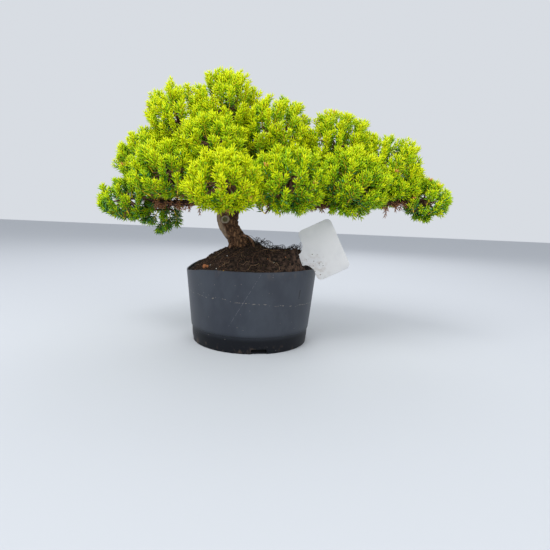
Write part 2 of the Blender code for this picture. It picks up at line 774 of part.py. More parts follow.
def outermost_piece(obj):
    """Keeps the largest closed shell, which fills sealed hollows and drops loose scraps."""
    work = bmesh.new()
    work.from_mesh(obj.data)
    bmesh.ops.triangulate(work, faces=work.faces)
    unseen = set(work.verts)
    shells = []
    while unseen:
        frontier = [unseen.pop()]
        shell = set(frontier)
        while frontier:
            vertex = frontier.pop()
            for edge in vertex.link_edges:
                neighbour = edge.other_vert(vertex)
                if neighbour not in shell:
                    shell.add(neighbour)
                    frontier.append(neighbour)
        unseen -= shell
        shells.append(shell)
    keep = max(shells, key=len)
    bmesh.ops.delete(work, geom=[vertex for vertex in work.verts if vertex not in keep], context="VERTS")
    work.to_mesh(obj.data)
    work.free()
    return obj


def stem_path(name, limbs):
    """From one gap past the tip of the limb that carries a mass, to the mass's centre."""
    carrier = next((bough for bough, row in BOUGHS.items() if row[2] == name), "trunk")
    limb = limbs[carrier]
    toward = (limb.points[-1] - limb.points[-2]).normalized()
    start = limb.points[-1] + toward * (GAP + (TRUNK_POINT if carrier == "trunk" else 0.0))
    centre = Vector(MASSES[name][0])
    return [start, start + toward * STEM_LEAD, centre], STEM_WIDTH * limb.radii[-1]


def trunk_heart(limbs):
    """The place low in the trunk that every mass grows away from."""
    return limbs["trunk"].at(HEART_SHARE)[0]


def grown_shoots(name, limbs, rng, group):
    """The shoots of a mass that keep to its space, clear of the limbs and of each other."""
    centre = Vector(MASSES[name][0])
    pole = (centre - trunk_heart(limbs)).normalized()
    radius = SHOOT_WIDTH * mass_weight(name)
    kept = 0
    middles = []
    for toward in spiral_directions(SHOOTS_TRIED, pole, rng):
        if kept == SHOOTS_KEPT:
            break
        turn = rng.uniform(0.0, math.pi)
        size = rng.uniform(SHOOT_SHORTEST, 1.0)
        for length in SHOOT_LENGTHS:
            reach = mass_reach(name, toward)
            root = centre + toward * SHOOT_ROOT * reach
            tip = centre + toward * reach * length * (size if kept else 1.0)
            rings = shoot_points(root, tip, radius, turn)
            if shoot_fits(name, rings, root, tip, limbs.values(), middles, SHOOT_SPREAD * radius):
                make_shoot(f"{name}_shoot_{kept}", rings, tip, group)
                middles += [root.lerp(tip, share) for share in SHOOT_MIDDLES]
                kept += 1
                break


def fattened(limb):
    """A limb's axis and radii with the margin that a core is cut clear by."""
    first = (limb.points[1] - limb.points[0]).normalized()
    last = (limb.points[-1] - limb.points[-2]).normalized()
    points = [limb.points[0] - first * LIMB_MARGIN]
    points += limb.points[1:-1]
    points.append(limb.points[-1] + last * LIMB_MARGIN)
    return points, [radius + LIMB_MARGIN for radius in limb.radii]


def make_mass(name, seed, limbs, group, mat):
    """Core cut clear of the limbs, joined to its stem and to the shoots that fit its space."""
    rng = random.Random(seed)
    core = make_core(name, rng, group)
    near = new_collection(name + "_limbs")
    for index, limb in enumerate(limbs.values()):
        if limb.clearance(Vector(MASSES[name][0])) < max(MASSES[name][1]):
            tube(f"{name}_clear_{index}", *fattened(limb), near, 2)
    if near.objects:
        boolean(core, "DIFFERENCE", collection=near, solver="MANIFOLD")
    growth = new_collection(name + "_growth")
    path, radius = stem_path(name, limbs)
    tube(name + "_stem", path, [radius, radius, STEM_TAPER * radius], growth)
    grown_shoots(name, limbs, rng, growth)
    boolean(core, "UNION", collection=growth, solver="MANIFOLD")
    for group_used in (near, growth):
        removed(group_used.objects)
        bpy.data.collections.remove(group_used)
    return finished(outermost_piece(core), mat, 25.0)


# ---------------------------------------------------------------- label
def arc(centre_x, centre_y, radius, start_degrees, end_degrees, steps=5):
    points = []
    for k in range(steps + 1):
        angle = math.radians(start_degrees + (end_degrees - start_degrees) * k / steps)
        points.append((centre_x + radius * math.cos(angle), centre_y + radius * math.sin(angle)))
    return points


def label_outline(grow=0.0):
    """Head to the right of x = 0, neck and stake to the left, grown sideways by a clearance."""
    half = 0.5 * LABEL_LENGTH
    corner = LABEL_CORNER
    right = LABEL_WIDTH - corner
    points = arc(corner, half - corner, corner, 180, 90)
    points += arc(right, half - corner, corner, 90, 0)
    points += arc(right, corner - half, corner, 0, -90)
    points += arc(corner, corner - half, corner, -90, -180)
    lower = [(0.0, -LABEL_SHOULDER - grow)]
    for k in range(1, LABEL_NECK_STEPS + 1):
        t = k / LABEL_NECK_STEPS
        half_width = LABEL_SHOULDER + (LABEL_NECK_HALF - LABEL_SHOULDER) * math.sin(0.5 * math.pi * t)
        lower.append((-LABEL_NECK_LENGTH * t, -half_width - grow))
    root_share, end_share = LABEL_POINT_SHARES
    lower.append((-LABEL_NECK_LENGTH - LABEL_STAKE_START, -LABEL_STAKE_HALF - grow))
    lower.append((-LABEL_STAKE_LENGTH + LABEL_POINT_LENGTH, -root_share * LABEL_STAKE_HALF - grow))
    lower.append((-LABEL_STAKE_LENGTH - grow, -end_share * LABEL_STAKE_HALF - grow))
    points += lower
    points += [(x, -y) for x, y in reversed(lower)]
    return points


def label_solid(name, group, thickness, grow=0.0):
    curve = bpy.data.curves.new(name, "CURVE")
    curve.dimensions = "2D"
    curve.fill_mode = "BOTH"
    curve.extrude = 0.5 * thickness
    outline = [(x, y, 0.0) for x, y in label_outline(grow)]
    poly_spline(curve, outline).use_cyclic_u = True
    solid = filled_curve(name, curve, group)
    solid.rotation_euler = (math.radians(90.0), -LABEL_TILT, 0.0)
    solid.location = LABEL_NECK
    return solid


def make_label(soil, group, cutter_group, mat):
    """The tag, and the slot that its stake fills in the soil."""
    label = label_solid("plant_label", group, LABEL_THICKNESS)
    slot = label_solid("label_slot_cutter", cutter_group, LABEL_THICKNESS + 2.0 * GAP, GAP)
    boolean(soil, "DIFFERENCE", other=as_cutter(slot))
    return finished(label, mat, 30.0)


# ---------------------------------------------------------------- assembly
def main():
    clear_scene()
    parts = new_collection("juniper_bonsai")
    cutters = new_collection("cutters")
    plastic = material("pot_plastic", (0.045, 0.050, 0.055), 0.42)
    peat = material("peat_soil", (0.045, 0.026, 0.016), 0.95)
    bark = material("bark", (0.135, 0.085, 0.055), 0.90)
    needles = material("needles", (0.230, 0.330, 0.060), 0.60)
    tag = material("label_plastic", (0.780, 0.790, 0.780), 0.40)

    limbs = {"trunk": trunk_limb()}
    make_pot(parts, cutters, plastic)
    soil = make_soil(limbs["trunk"], parts, peat)
    make_label(soil, parts, cutters, tag)
    make_trunk(limbs["trunk"], parts, bark)
    for name in SURFACE_ROOTS:
        make_surface_root(name, limbs["trunk"], parts, bark)
    for name in BOUGHS:
        limbs[name] = bough_limb(name, limbs)
        carries_boughs = any(row[0] == name for row in BOUGHS.values())
        roundness = 2 if carries_boughs else 1
        finished(tube(name, limbs[name].points, limbs[name].radii, parts, roundness), bark)
    for seed, name in enumerate(MASSES, start=1):
        make_mass(name, seed, limbs, parts, needles)


main()
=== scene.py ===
"""Looks of the juniper bonsai: pot, peat, label, bark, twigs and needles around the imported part.

Metres, +Z up, in the part's own frame.  The limbs and the spaces of the foliage masses follow the
part's rule from the same named sizes.  The growth goes on from there to finer twigs, shoots and
needles within the same reach.
"""

import math
import random

import bmesh
import bpy
import numpy as np
from mathutils import Matrix, Vector, noise
from mathutils.geometry import intersect_point_line


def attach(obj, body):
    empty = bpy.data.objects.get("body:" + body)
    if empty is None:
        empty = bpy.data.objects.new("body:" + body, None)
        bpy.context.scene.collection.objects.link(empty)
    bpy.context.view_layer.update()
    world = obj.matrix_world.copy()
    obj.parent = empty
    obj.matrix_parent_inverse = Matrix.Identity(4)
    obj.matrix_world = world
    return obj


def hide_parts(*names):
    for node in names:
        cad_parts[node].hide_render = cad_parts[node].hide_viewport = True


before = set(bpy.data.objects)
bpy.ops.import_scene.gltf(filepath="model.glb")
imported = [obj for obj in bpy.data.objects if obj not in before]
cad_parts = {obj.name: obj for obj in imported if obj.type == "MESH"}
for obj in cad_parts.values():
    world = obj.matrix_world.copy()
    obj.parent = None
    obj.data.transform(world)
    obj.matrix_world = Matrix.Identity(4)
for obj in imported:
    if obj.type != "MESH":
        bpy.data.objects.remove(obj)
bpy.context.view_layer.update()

GAP = 0.0003                    # between neighbouring solids of the part
MERGE = 0.00001                 # points nearer to each other than this are one
SEAT_STEP = 0.00005             # by which a bough's root moves until it clears its parent
UP = Vector((0.0, 0.0, 1.0))
NOISE_OFFSETS = ((9.321, -1.531, -7.951), (0.0, 0.0, 0.0), (6.327, 0.1671, -2.672))
MIDDLE = (0.0, 0.0, 0.0)
TURN = 6.28                     # range of the random angles round an axis
SOIL_SEED = 5                   # the masses take the seeds from 1 on
BOUGH_SEED = 31
DEAD_SEED = 77
PIECE_WHORLS = 190000 // 18     # most whorls in one piece; a whorl has 18 triangles

# Pot
POT_BASE_RADIUS = 0.0640
POT_RIM_RADIUS_X = 0.0720
POT_RIM_RADIUS_Y = 0.0665
POT_HEIGHT = 0.0837
POT_WALL = 0.0012
POT_FLOOR = 0.0016
POT_FOOT_HEIGHT = 0.0170
POT_FOOT_STEP = 0.0005
POT_EDGE = 0.0012
POT_SIDES = 160
# Waves of the cut rim: order, and size along the cosine and the sine
RIM_WAVES = ((1, 0.0017, 0.0021), (2, -0.0018, -0.0012), (3, 0.0011, 0.0006), (4, -0.0008, -0.0002))
DRAIN_COUNT = 4
DRAIN_FIRST_ANGLE = math.radians(-77.9)
DRAIN_WIDTH = 0.0163
DRAIN_HEIGHT = 0.0052
DRAIN_CORNER = 0.0012
FOOT_GROOVE = 0.0004            # depth of the line under the shelf of the foot
ROUND_EDGE = (0.5, 1.05, 0.5 * math.pi, 2.09, 2.64)     # angles round the lip of the rim
DENT_DEPTH = 0.00030
NICK_DEPTH = 0.00035
# Marks on the pot: the line, its lowest and highest place, how far back it goes, strength, colour
POT_MARKS = (
    ((0.0525, -0.080, 0.0100, 0.00040, 0.46), 0.0, 1.0, 1.0, 0.42, (0.30, 0.27, 0.23)),
    ((0.0588, 1.75, 0.0012, 0.00036, 0.52), 0.0280, 1.0, 0.0, 0.32, (0.22, 0.23, 0.26)),
    ((-0.3756, 8.3, 0.0300, 0.0055, 0.64), 0.0552, 0.0645, 0.0, 0.80, (0.006, 0.006, 0.008)),
)

# Soil
SOIL_TOP = 0.1020
SOIL_EDGE = POT_HEIGHT - 0.0025
SOIL_SIDES = 240
SOIL_RINGS = 60
MOUND_START = Vector((-0.0135, 0.0, 0.0))
MOUND_END = Vector((0.0370, -0.0200, 0.0))
MOUND_MIDDLE = (MOUND_START + MOUND_END) * 0.5
MOUND_RADIUS = 0.0180
HEAP_MIDDLE = Vector((-0.0040, -0.0020, 0.0))
HEAP_RADII = (0.0, 0.0060, 0.0125, 0.0205)
HEAP_HEIGHTS = (0.1150, 0.1087, 0.1051, 0.1017)
# Small rises and hollows of the loose soil: middle, spread sideways and in depth, and height
SOIL_SWELLS = (
    ((-0.037, -0.004), (0.0095, 0.0200), -0.0036),
    ((-0.063, 0.024), (0.0070, 0.0080), 0.0036),
    ((0.0495, -0.0440), (0.0105, 0.0075), 0.0100),
)
LUMP_HEIGHT = 0.0013
CRUMB_HEIGHT = 0.0013
DUST_HEIGHT = 0.0005
# Grains: piece, finish, count, share of the way to the wall, lift, least and greatest size
SOIL_GRAINS = (
    ("peat_crumbs", "peat_crumb", 3000, 0.93, 0.0, 0.0005, 0.0018),
    ("perlite_grains", "perlite", 30, 0.88, 0.0003, 0.0003, 0.0008),
)
# Single bits: piece, finish, flatness, lift as a share of the size, and each one's x, y and size
SOIL_BITS = (
    ("bark_chips", "bark_chip", 0.45, 0.3,
     ((-0.0475, -0.0330, 0.0038), (-0.0440, -0.0370, 0.0024), (-0.030, -0.046, 0.0011),
      (0.018, -0.045, 0.0010), (0.036, -0.044, 0.0013), (-0.006, -0.022, 0.0011),
      (-0.052, 0.004, 0.0022), (-0.020, 0.040, 0.0026), (0.044, 0.020, 0.0022),
      (0.020, 0.034, 0.0015))),
    ("yellow_leaf_scrap", "leaf_scrap", 0.6, 0.0006 / 0.0013, ((-0.0249, -0.0550, 0.0013),)),
)
FIBRES = 320
FIBRE_POINTS = 7
FIBRE_LIMIT = 0.84              # where fibres end; the rim is at 1
WIRY_ROOTS = 84
WIRY_ROOT_POINTS = 13

# Trunk: height, sideways place, depth and radius of its sections
TRUNK_SECTIONS = (
    (SOIL_TOP + GAP, -0.0130, 0.000, 0.0128),
    (0.1080, -0.0148, 0.000, 0.0124),
    (0.1147, -0.0199, 0.000, 0.0126),
    (0.1210, -0.0243, 0.000, 0.0126),
    (0.1280, -0.0283, 0.000, 0.0117),
    (0.1357, -0.0292, 0.000, 0.0121),
    (0.1450, -0.0286, 0.001, 0.0120),
    (0.1640, -0.0310, 0.002, 0.0102),
    (0.1900, -0.0365, 0.004, 0.0078),
    (0.2180, -0.0380, 0.004, 0.0053),
    (0.2360, -0.0350, 0.004, 0.0036),
)
TRUNK_POINT = 0.0004
TRUNK_BURIED = 0.0060
TRUNK_SIDES = 84
TRUNK_SPANS = 16
FLARE_HEIGHT = 0.0120
FLARE_REACH = 0.0040
FLARE_LOBES = 5
# Pale strip on the trunk: edge and the height below which it slants, ends, width, depth and fade
PALE_EDGE = -0.0413
PALE_BEND = 0.136
PALE_LOW = 0.108
PALE_HIGH = 0.152
PALE_WIDTH = 0.0030
PALE_BACK = 0.006
PALE_FADE = 0.008
SCAR_PLACE = Vector((-0.0302, -0.0138, 0.1330))
SCAR_RADIUS = 0.0044
SCAR_LENGTH = 0.0080
SCAR_FACE_RADIUS = 0.0028
SCAR_SIDES = 48
ROOT_BURIED = 0.0015
HIDDEN_START = 0.0030           # how far a root's or bough's bark starts inside the limb it leaves
SURFACE_ROOTS = {
    "surface_root_right": (((-0.0105, -0.0104, 0.1165), (-0.0052, -0.0122, 0.1157),
                            (-0.0005, -0.0126, 0.1110), (0.0012, -0.0126, 0.1070)), 0.0026),
    "surface_root_left": (((-0.0218, -0.0112, 0.1072), (-0.0228, -0.0130, 0.1068),
                           (-0.0236, -0.0140, 0.1052), (-0.0239, -0.0143, 0.1038)), 0.0030),
}

# Foliage masses: centre, and the reach sideways, in depth, upward and downward
MASSES = {
    "foliage_apex": ((-0.034, 0.004, 0.250), (0.040, 0.038, 0.044, 0.026)),
    "foliage_upper_left": ((-0.087, 0.008, 0.236), (0.038, 0.036, 0.045, 0.028)),
    "foliage_left_shoulder": ((-0.120, 0.002, 0.193), (0.035, 0.038, 0.038, 0.026)),
    "foliage_left_tip": ((-0.141, 0.000, 0.151), (0.030, 0.030, 0.023, 0.022)),
    "foliage_left_hanging": ((-0.109, 0.022, 0.142), (0.026, 0.026, 0.016, 0.030)),
    "foliage_left_front": ((-0.086, -0.046, 0.176), (0.038, 0.034, 0.034, 0.024)),
    "foliage_high_front": ((-0.042, -0.038, 0.206), (0.038, 0.032, 0.032, 0.026)),
    "foliage_front": ((-0.024, -0.080, 0.166), (0.038, 0.034, 0.030, 0.027)),
    "foliage_upper_right": ((0.020, 0.006, 0.226), (0.043, 0.038, 0.043, 0.029)),
    "foliage_right_hump": ((0.090, 0.010, 0.216), (0.044, 0.038, 0.043, 0.028)),
    "foliage_right_front": ((0.036, -0.052, 0.174), (0.040, 0.036, 0.034, 0.034)),
    "foliage_right_middle": ((0.100, -0.036, 0.176), (0.040, 0.036, 0.036, 0.036)),
    "foliage_right_shoulder": ((0.145, 0.000, 0.188), (0.039, 0.040, 0.047, 0.040)),
    "foliage_right_tip": ((0.186, -0.004, 0.163), (0.0285, 0.026, 0.024, 0.023)),
    "foliage_back_left": ((-0.084, 0.066, 0.184), (0.044, 0.038, 0.038, 0.028)),
    "foliage_back_middle": ((-0.010, 0.072, 0.196), (0.044, 0.038, 0.042, 0.030)),
    "foliage_back_right": ((0.070, 0.068, 0.182), (0.044, 0.038, 0.038, 0.030)),
}
MASS_TONES_AND_LIGHT = {                  # how much brighter or duller a mass's growth is, partly its own colour and partly painted light and shade: brighter on the top and front, duller on the hanging mass under the crown
    "foliage_apex": 0.07,
    "foliage_upper_left": 0.06,
    "foliage_left_tip": -0.04,
    "foliage_left_hanging": -0.14,
    "foliage_front": 0.26,
    "foliage_right_front": -0.02,
    "foliage_right_middle": -0.02,
}

DROOP = {"foliage_left_hanging": -0.55}     # masses whose shoots do not rise
FULLNESS = {                    # how far a mass's shoots reach, as a share of its own reach
    "foliage_left_shoulder": 0.93,
    "foliage_left_tip": 1.07,
    "foliage_right_shoulder": 0.97,
}
DEAD_TUFTS = (                  # limb, share of it where they start, count, longest
    ("bough_left", 0.15, 44, 0.010), ("bough_right", 0.30, 60, 0.010),
    ("bough_right", 0.62, 34, 0.015), ("bough_right_middle", 0.3, 12, 0.014),
    ("bough_right_shoulder", 0.3, 12, 0.014), ("bough_left_front", 0.3, 7, 0.010),
    ("bough_left_shoulder", 0.3, 7, 0.010), ("bough_right_front", 0.4, 7, 0.010),
    ("bough_front", 0.5, 7, 0.010),
)

# Boughs: what each grows from, how far along that, its mass, root and tip radius, and sag
BOUGHS = {
    "bough_left": ("trunk", 0.440, "foliage_left_tip", 0.0062, 0.0030, 0.010),
    "bough_right": ("trunk", 0.450, "foliage_right_tip", 0.0070, 0.0028, 0.012),
    "bough_front": ("trunk", 0.480, "foliage_front", 0.0042, 0.0025, -0.004),
    "bough_back_right": ("trunk", 0.510, "foliage_back_right", 0.0046, 0.0026, 0.004),
    "bough_back_left": ("trunk", 0.560, "foliage_back_left", 0.0044, 0.0026, 0.004),
    "bough_back_middle": ("trunk", 0.620, "foliage_back_middle", 0.0038, 0.0025, 0.000),
    "bough_high_front": ("trunk", 0.680, "foliage_high_front", 0.0034, 0.0024, 0.000),
    "bough_upper_right": ("trunk", 0.730, "foliage_upper_right", 0.0036, 0.0024, 0.002),
    "bough_upper_left": ("trunk", 0.780, "foliage_upper_left", 0.0034, 0.0024, 0.002),
    "bough_left_front": ("bough_left", 0.30, "foliage_left_front", 0.0032, 0.0022, 0.000),
    "bough_left_hanging": ("bough_left", 0.52, "foliage_left_hanging", 0.0026, 0.0020, -0.003),
    "bough_left_shoulder": ("bough_left", 0.62, "foliage_left_shoulder", 0.0034, 0.0023, 0.002),
    "bough_right_front": ("bough_right", 0.16, "foliage_right_front", 0.0034, 0.0023, 0.000),
    "bough_right_hump": ("bough_right", 0.34, "foliage_right_hump", 0.0040, 0.0024, 0.004),
    "bough_right_middle": ("bough_right", 0.50, "foliage_right_middle", 0.0034, 0.0023, 0.002),
    "bough_right_shoulder": ("bough_right", 0.64, "foliage_right_shoulder", 0.0034, 0.0023, 0.002),
}
BOUGH_SPANS = 5
BOUGH_ENTRY = 0.70
ENTRY_MARGIN = 0.0040
ENTRY_DISTANCE = 0.0090
BARK_SLIMMER = {"bough_left": 0.78}
BOUGH_DETAIL = 9                # rings of the bark mesh in each span
# Barks: dark, light and pale colour, scale of the grain, size of the flakes and their relief
BARKS = {
    "trunk_bark": ((0.085, 0.040, 0.020), (0.270, 0.145, 0.072), (0.430, 0.330, 0.230),
                   420.0, 0.0036, 1.5),
    "root_bark": ((0.130, 0.068, 0.038), (0.340, 0.185, 0.105), (0.400, 0.260, 0.160),
                  600.0, 0.0016, 0.8),
    "bough_bark": ((0.060, 0.028, 0.018), (0.180, 0.090, 0.055), (0.300, 0.200, 0.140),
                   520.0, 0.0026, 0.8),
}

# Growth: branchlets on a spiral, each a leading shoot with side shoots, all in whorls of needles
STEM_LEAD = 0.0040
STEM_WIDTH = 0.85               # as a share of the bough's tip
STEM_TIP = 0.0014
TWIG_RADII = (0.00125, 0.00085)
DEAD_TWIG_RADII = (0.0005, 0.0003)
HEART_SHARE = 0.45              # share of the trunk's length that all masses point away from
BRANCHLETS = 56                 # on a mass of the usual size
USUAL_SIZE = 0.0390
LEADER_LENGTH = 0.62            # of a leading shoot, as a share of the mass's reach
SIDE_SHOOTS = 5
SIDE_START = 0.20
SIDE_SPACING = 0.145
SIDE_LENGTH = 0.62              # of the first side shoot, as a share of the leader's
SIDE_SHORTENING = 0.08          # from each side shoot to the next
SIDE_SLANT = (32.0, 46.0)       # degrees between a side shoot and its leader
SIDE_RISE = 0.45
SIDE_SINK = -0.20               # the same for masses whose shoots do not rise
LEADER_RISE = 0.98
UNDERSIDE = -0.40               # directions lower than this rise less
UNDERSIDE_RISE = 0.30
LEADER_BARE = 0.12              # share of a leading shoot without needles
SIDE_BARE = 0.06
BOUGH_LEADER_BARE = 0.25
SHOOT_MARGIN = 0.0022           # between a shoot's axis and any limb
WALL_OVERLAP = 0.0140           # how far shoots of neighbouring masses may mingle
BOUGH_SHOOTS = 470              # shoots on each metre of bough
BOUGH_SHOOT_SIZES = (0.020, 0.044)
BOUGH_SHOOT_SHORTEST = 0.012
GOLDEN_TURN = 2.4
CROWN_FROM = 0.60               # share of the trunk's length above which it carries shoots itself
SHORTEST_REACH = 0.50           # share of the reach below which a branchlet is left out
WHORL_SPACING = 0.0020
WHORL_TURN = 1.047              # from one whorl to the next
THIRD_TURN = 2.094              # between the needles of a whorl
NEEDLE_LENGTH = 0.0060
SHORT_NEEDLE = 0.75 * NEEDLE_LENGTH
NEEDLE_HALF_WIDTH = 0.00090
NEEDLE_WIDEST = 0.30            # share of the length at which it is widest
NEEDLE_CORNERS = (0.5, 0.5 + THIRD_TURN, 0.5 + 4.189)
NEEDLE_LIFT = 0.06
LEAN_BASE = math.radians(54.0)
LEAN_TIP = math.radians(20.0)
LEAN_JITTER = 0.13
TURN_JITTER = 0.25
STALK_RADIUS = 0.00050
STALK_POINTS = 5
STALK_SIDES = 3
LEADER_THICKNESS = 1.25 * STALK_RADIUS
BUD_LENGTH = 0.0018             # how far the last needles stand past a shoot's axis

NEEDLE_COLOURS = {              # base colours, from the brightest growth to the dullest
    "lime": (0.730, 0.820, 0.004),
    "yellow_green": (0.530, 0.700, 0.004),
    "fresh_green": (0.330, 0.560, 0.006),
    "leaf_green": (0.160, 0.370, 0.012),
    "deep_green": (0.060, 0.200, 0.022),
    "blue_green": (0.090, 0.290, 0.110),
    "salmon": (0.760, 0.300, 0.100),
    "dead_brown": (0.560, 0.260, 0.140),
}
TONE_STEPS = ((0.74, "lime"), (0.50, "yellow_green"), (0.29, "fresh_green"), (0.12, "leaf_green"))
TONE_SPREAD = 0.105             # between shoots
TIP_GAIN = 0.80                 # by how much a shoot brightens along its length
BLUE_SHARE = 0.38               # of the dullest whorls
SALMON_SHARE = 0.05             # of the leading shoots' tips

# Label
LABEL_NECK = Vector((0.0594, -0.0382, 0.0982))
LABEL_TILT = math.radians(27.0)
LABEL_LENGTH = 0.0555
LABEL_WIDTH = 0.0362
LABEL_THICKNESS = 0.0007
LABEL_CORNER = 0.0050
LABEL_SHOULDER = 0.0140
LABEL_NECK_HALF = 0.0066
LABEL_NECK_LENGTH = 0.0065
LABEL_STAKE_HALF = 0.0055
LABEL_STAKE_LENGTH = 0.0480
LABEL_STAKE_START = 0.0080
LABEL_POINT_LENGTH = 0.0100
LABEL_NECK_STEPS = 6
LABEL_BEVEL = 0.00018
LABEL_SOILED_AT = (0.0655, -0.0385, 0.0865)

# Plain finishes: base colour, roughness and specular level
PLAIN_FINISHES = {
    "peat_crumb": ((0.030, 0.018, 0.013), 0.95, 0.2),
    "perlite": ((0.62, 0.58, 0.50), 0.8, 0.3),
    "bark_chip": ((0.330, 0.125, 0.050), 0.85, 0.3),
    "leaf_scrap": ((0.700, 0.380, 0.020), 0.7, 0.3),
    "pale_fibre": ((0.360, 0.220, 0.120), 0.8, 0.4),
    "brown_fibre": ((0.130, 0.065, 0.036), 0.85, 0.4),
    "wiry_root": ((0.020, 0.013, 0.010), 0.7, 0.4),
    "twig_bark": ((0.150, 0.075, 0.042), 0.8, 0.4),
    "shoot_stalk": ((0.800, 0.600, 0.030), 0.6, 0.2),
    "floor_paint": ((0.52, 0.54, 0.57), 0.7, 0.2),
}

# Camera and light
CAMERA_PLACE = Vector((0.02625, -0.4496, 0.1317))
CAMERA_PITCH = math.radians(7.44)
CAMERA_ROLL = math.radians(2.49)
CAMERA_LENS = 26.18
CAMERA_SENSOR = 36.0
FLOOR_HALF = 6.0
SKY_COLOUR = (0.86, 0.90, 0.96, 1.0)
SKY_STRENGTH = 0.80
LAMP_AIM = Vector((0.0, 0.0, 0.12))
LAMPS = (                       # name, place, size and power
    ("key", (-0.55, -0.75, 1.25), 0.9, 16.0),
    ("fill", (0.9, -0.9, 0.6), 1.0, 5.0),
    ("back", (0.2, 1.1, 1.1), 1.0, 7.0),
)


# ---------------------------------------------------------------- helpers for meshes and pieces
def placed(name, data):
    """A new object in the scene that carries the given mesh, curve, lamp or camera."""
    obj = bpy.data.objects.new(name, data)
    bpy.context.scene.collection.objects.link(obj)
    return obj


class Heap:
    """Many small shapes gathered as arrays into one mesh of triangles."""

    def __init__(self):
        self.points = []
        self.faces = []
        self.count = 0

    def add(self, points, faces):
        self.points.append(points)
        self.faces.append(faces + self.count)
        self.count += len(points)

    def mesh(self, name):
        points = np.concatenate(self.points).astype(np.float32)
        faces = np.concatenate(self.faces).astype(np.int32)
        mesh = bpy.data.meshes.new(name)
        mesh.vertices.add(len(points))
        mesh.vertices.foreach_set("co", points.ravel())
        mesh.loops.add(3 * len(faces))
        mesh.loops.foreach_set("vertex_index", faces.ravel())
        mesh.polygons.add(len(faces))
        mesh.polygons.foreach_set("loop_start", np.arange(0, 3 * len(faces), 3, dtype=np.int32))
        mesh.update(calc_edges=True)
        return mesh


def mesh_of(shape, name):
    """A mesh from a heap, or from a bmesh, which is freed; a finished mesh is passed through."""
    if isinstance(shape, bpy.types.Mesh):
        return shape
    if isinstance(shape, Heap):
        return shape.mesh(name)
    mesh = bpy.data.meshes.new(name)
    shape.to_mesh(mesh)
    shape.free()
    return mesh


def as_piece(name, shape, finish, nodes=(), sharp_degrees=None):
    """An object that rides on the part, with its finish and the nodes it stands for."""
    mesh = mesh_of(shape, name)
    obj = placed(name, mesh)
    mesh.materials.clear()
    mesh.materials.append(finish)
    if sharp_degrees is not None:
        mesh.shade_smooth()
        mesh.set_sharp_from_angle(angle=math.radians(sharp_degrees))
    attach(obj, "root")
    if nodes:
        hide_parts(*nodes)


def closed(work):
    """Joins points that coincide and turns all faces outward."""
    bmesh.ops.remove_doubles(work, verts=work.verts, dist=MERGE)
    bmesh.ops.recalc_face_normals(work, faces=work.faces)
    return work


def turned(profile, steps):
    """A line of (radius, height) points spun about Z."""
    work = bmesh.new()
    line = [work.verts.new((radius, 0.0, height)) for radius, height in profile]
    edges = [work.edges.new(pair) for pair in zip(line, line[1:])]
    bmesh.ops.spin(work, geom=line + edges, cent=MIDDLE, axis=UP, dvec=MIDDLE,
                   angle=2.0 * math.pi, steps=steps, use_merge=True)
    return closed(work)


def moved(work, rule):
    for vertex in work.verts:
        vertex.co = rule(vertex.co.copy())
    return work


def evaluated_mesh(obj):
    bpy.context.view_layer.update()
    graph = bpy.context.evaluated_depsgraph_get()
    return bpy.data.meshes.new_from_object(obj.evaluated_get(graph))


def curve_tube(points, radii, roundness):
    """A round limb along an axis, closed at both ends, as a bmesh."""
    curve = bpy.data.curves.new("limb", "CURVE")
    curve.dimensions = "3D"
    curve.bevel_depth = 1.0
    curve.bevel_resolution = roundness
    curve.use_fill_caps = True
    spline = curve.splines.new("POLY")
    spline.points.add(len(points) - 1)
    for knot, point, radius in zip(spline.points, points, radii):
        knot.co = (*point, 1.0)
        knot.radius = radius
    path = placed("limb", curve)
    mesh = evaluated_mesh(path)
    bpy.data.objects.remove(path)
    work = bmesh.new()
    work.from_mesh(mesh)
    bpy.data.meshes.remove(mesh)
    return closed(work)


def smooth(share):
    share = min(1.0, max(0.0, share))
    return share * share * (3.0 - 2.0 * share)


def noise_shift(place):
    """A shift by noise in all three directions, each read at a place of its own."""
    return Vector([noise.noise(place + Vector(offset)) for offset in NOISE_OFFSETS])


def unit(vector):
    return vector / np.linalg.norm(vector)


def units(rows):
    return rows / np.linalg.norm(rows, axis=1, keepdims=True)


def upward(height):
    return np.array([0.0, 0.0, height])


def tube_faces(rings, sides):
    """Triangles of a closed tube whose points are listed ring by ring."""
    faces = []
    for i in range(rings - 1):
        for j in range(sides):
            k = (j + 1) % sides
            low, low_next = i * sides + j, i * sides + k
            faces += [(low, low_next, low_next + sides), (low, low_next + sides, low + sides)]
    last = (rings - 1) * sides
    for j in range(1, sides - 1):
        faces += [(0, j + 1, j), (last, last + j, last + j + 1)]
    return np.array(faces)


TUBE_FACES = {}                 # kept by number of rings and sides


def across(tangents):
    """Two directions square to each tangent and to each other."""
    mean = tangents.mean(axis=0)
    reference = np.zeros(3)
    reference[np.argmin(np.abs(mean))] = 1.0
    side = units(np.cross(tangents, reference))
    return side, np.cross(tangents, side)


def add_tube(heap, path, radii, sides):
    path = np.asarray(path, float)
    key = (len(path), sides)
    if key not in TUBE_FACES:
        TUBE_FACES[key] = tube_faces(*key)
    side, other = across(units(np.gradient(path, axis=0)))
    angles = 2.0 * math.pi * np.arange(sides) / sides
    ring = (np.cos(angles)[None, :, None] * side[:, None]
            + np.sin(angles)[None, :, None] * other[:, None])
    points = path[:, None] + np.asarray(radii, float)[:, None, None] * ring
    heap.add(points.reshape(-1, 3), TUBE_FACES[key])


def bow(start, bend, end, shares):
    """Places and directions on the bowed line from start to end that leans to bend."""
    t = np.asarray(shares, float)[:, None]
    places = (1.0 - t) ** 2 * start + 2.0 * t * (1.0 - t) * bend + t * t * end
    tangents = 2.0 * (1.0 - t) * (bend - start) + 2.0 * t * (end - bend)
    return places, units(tangents)


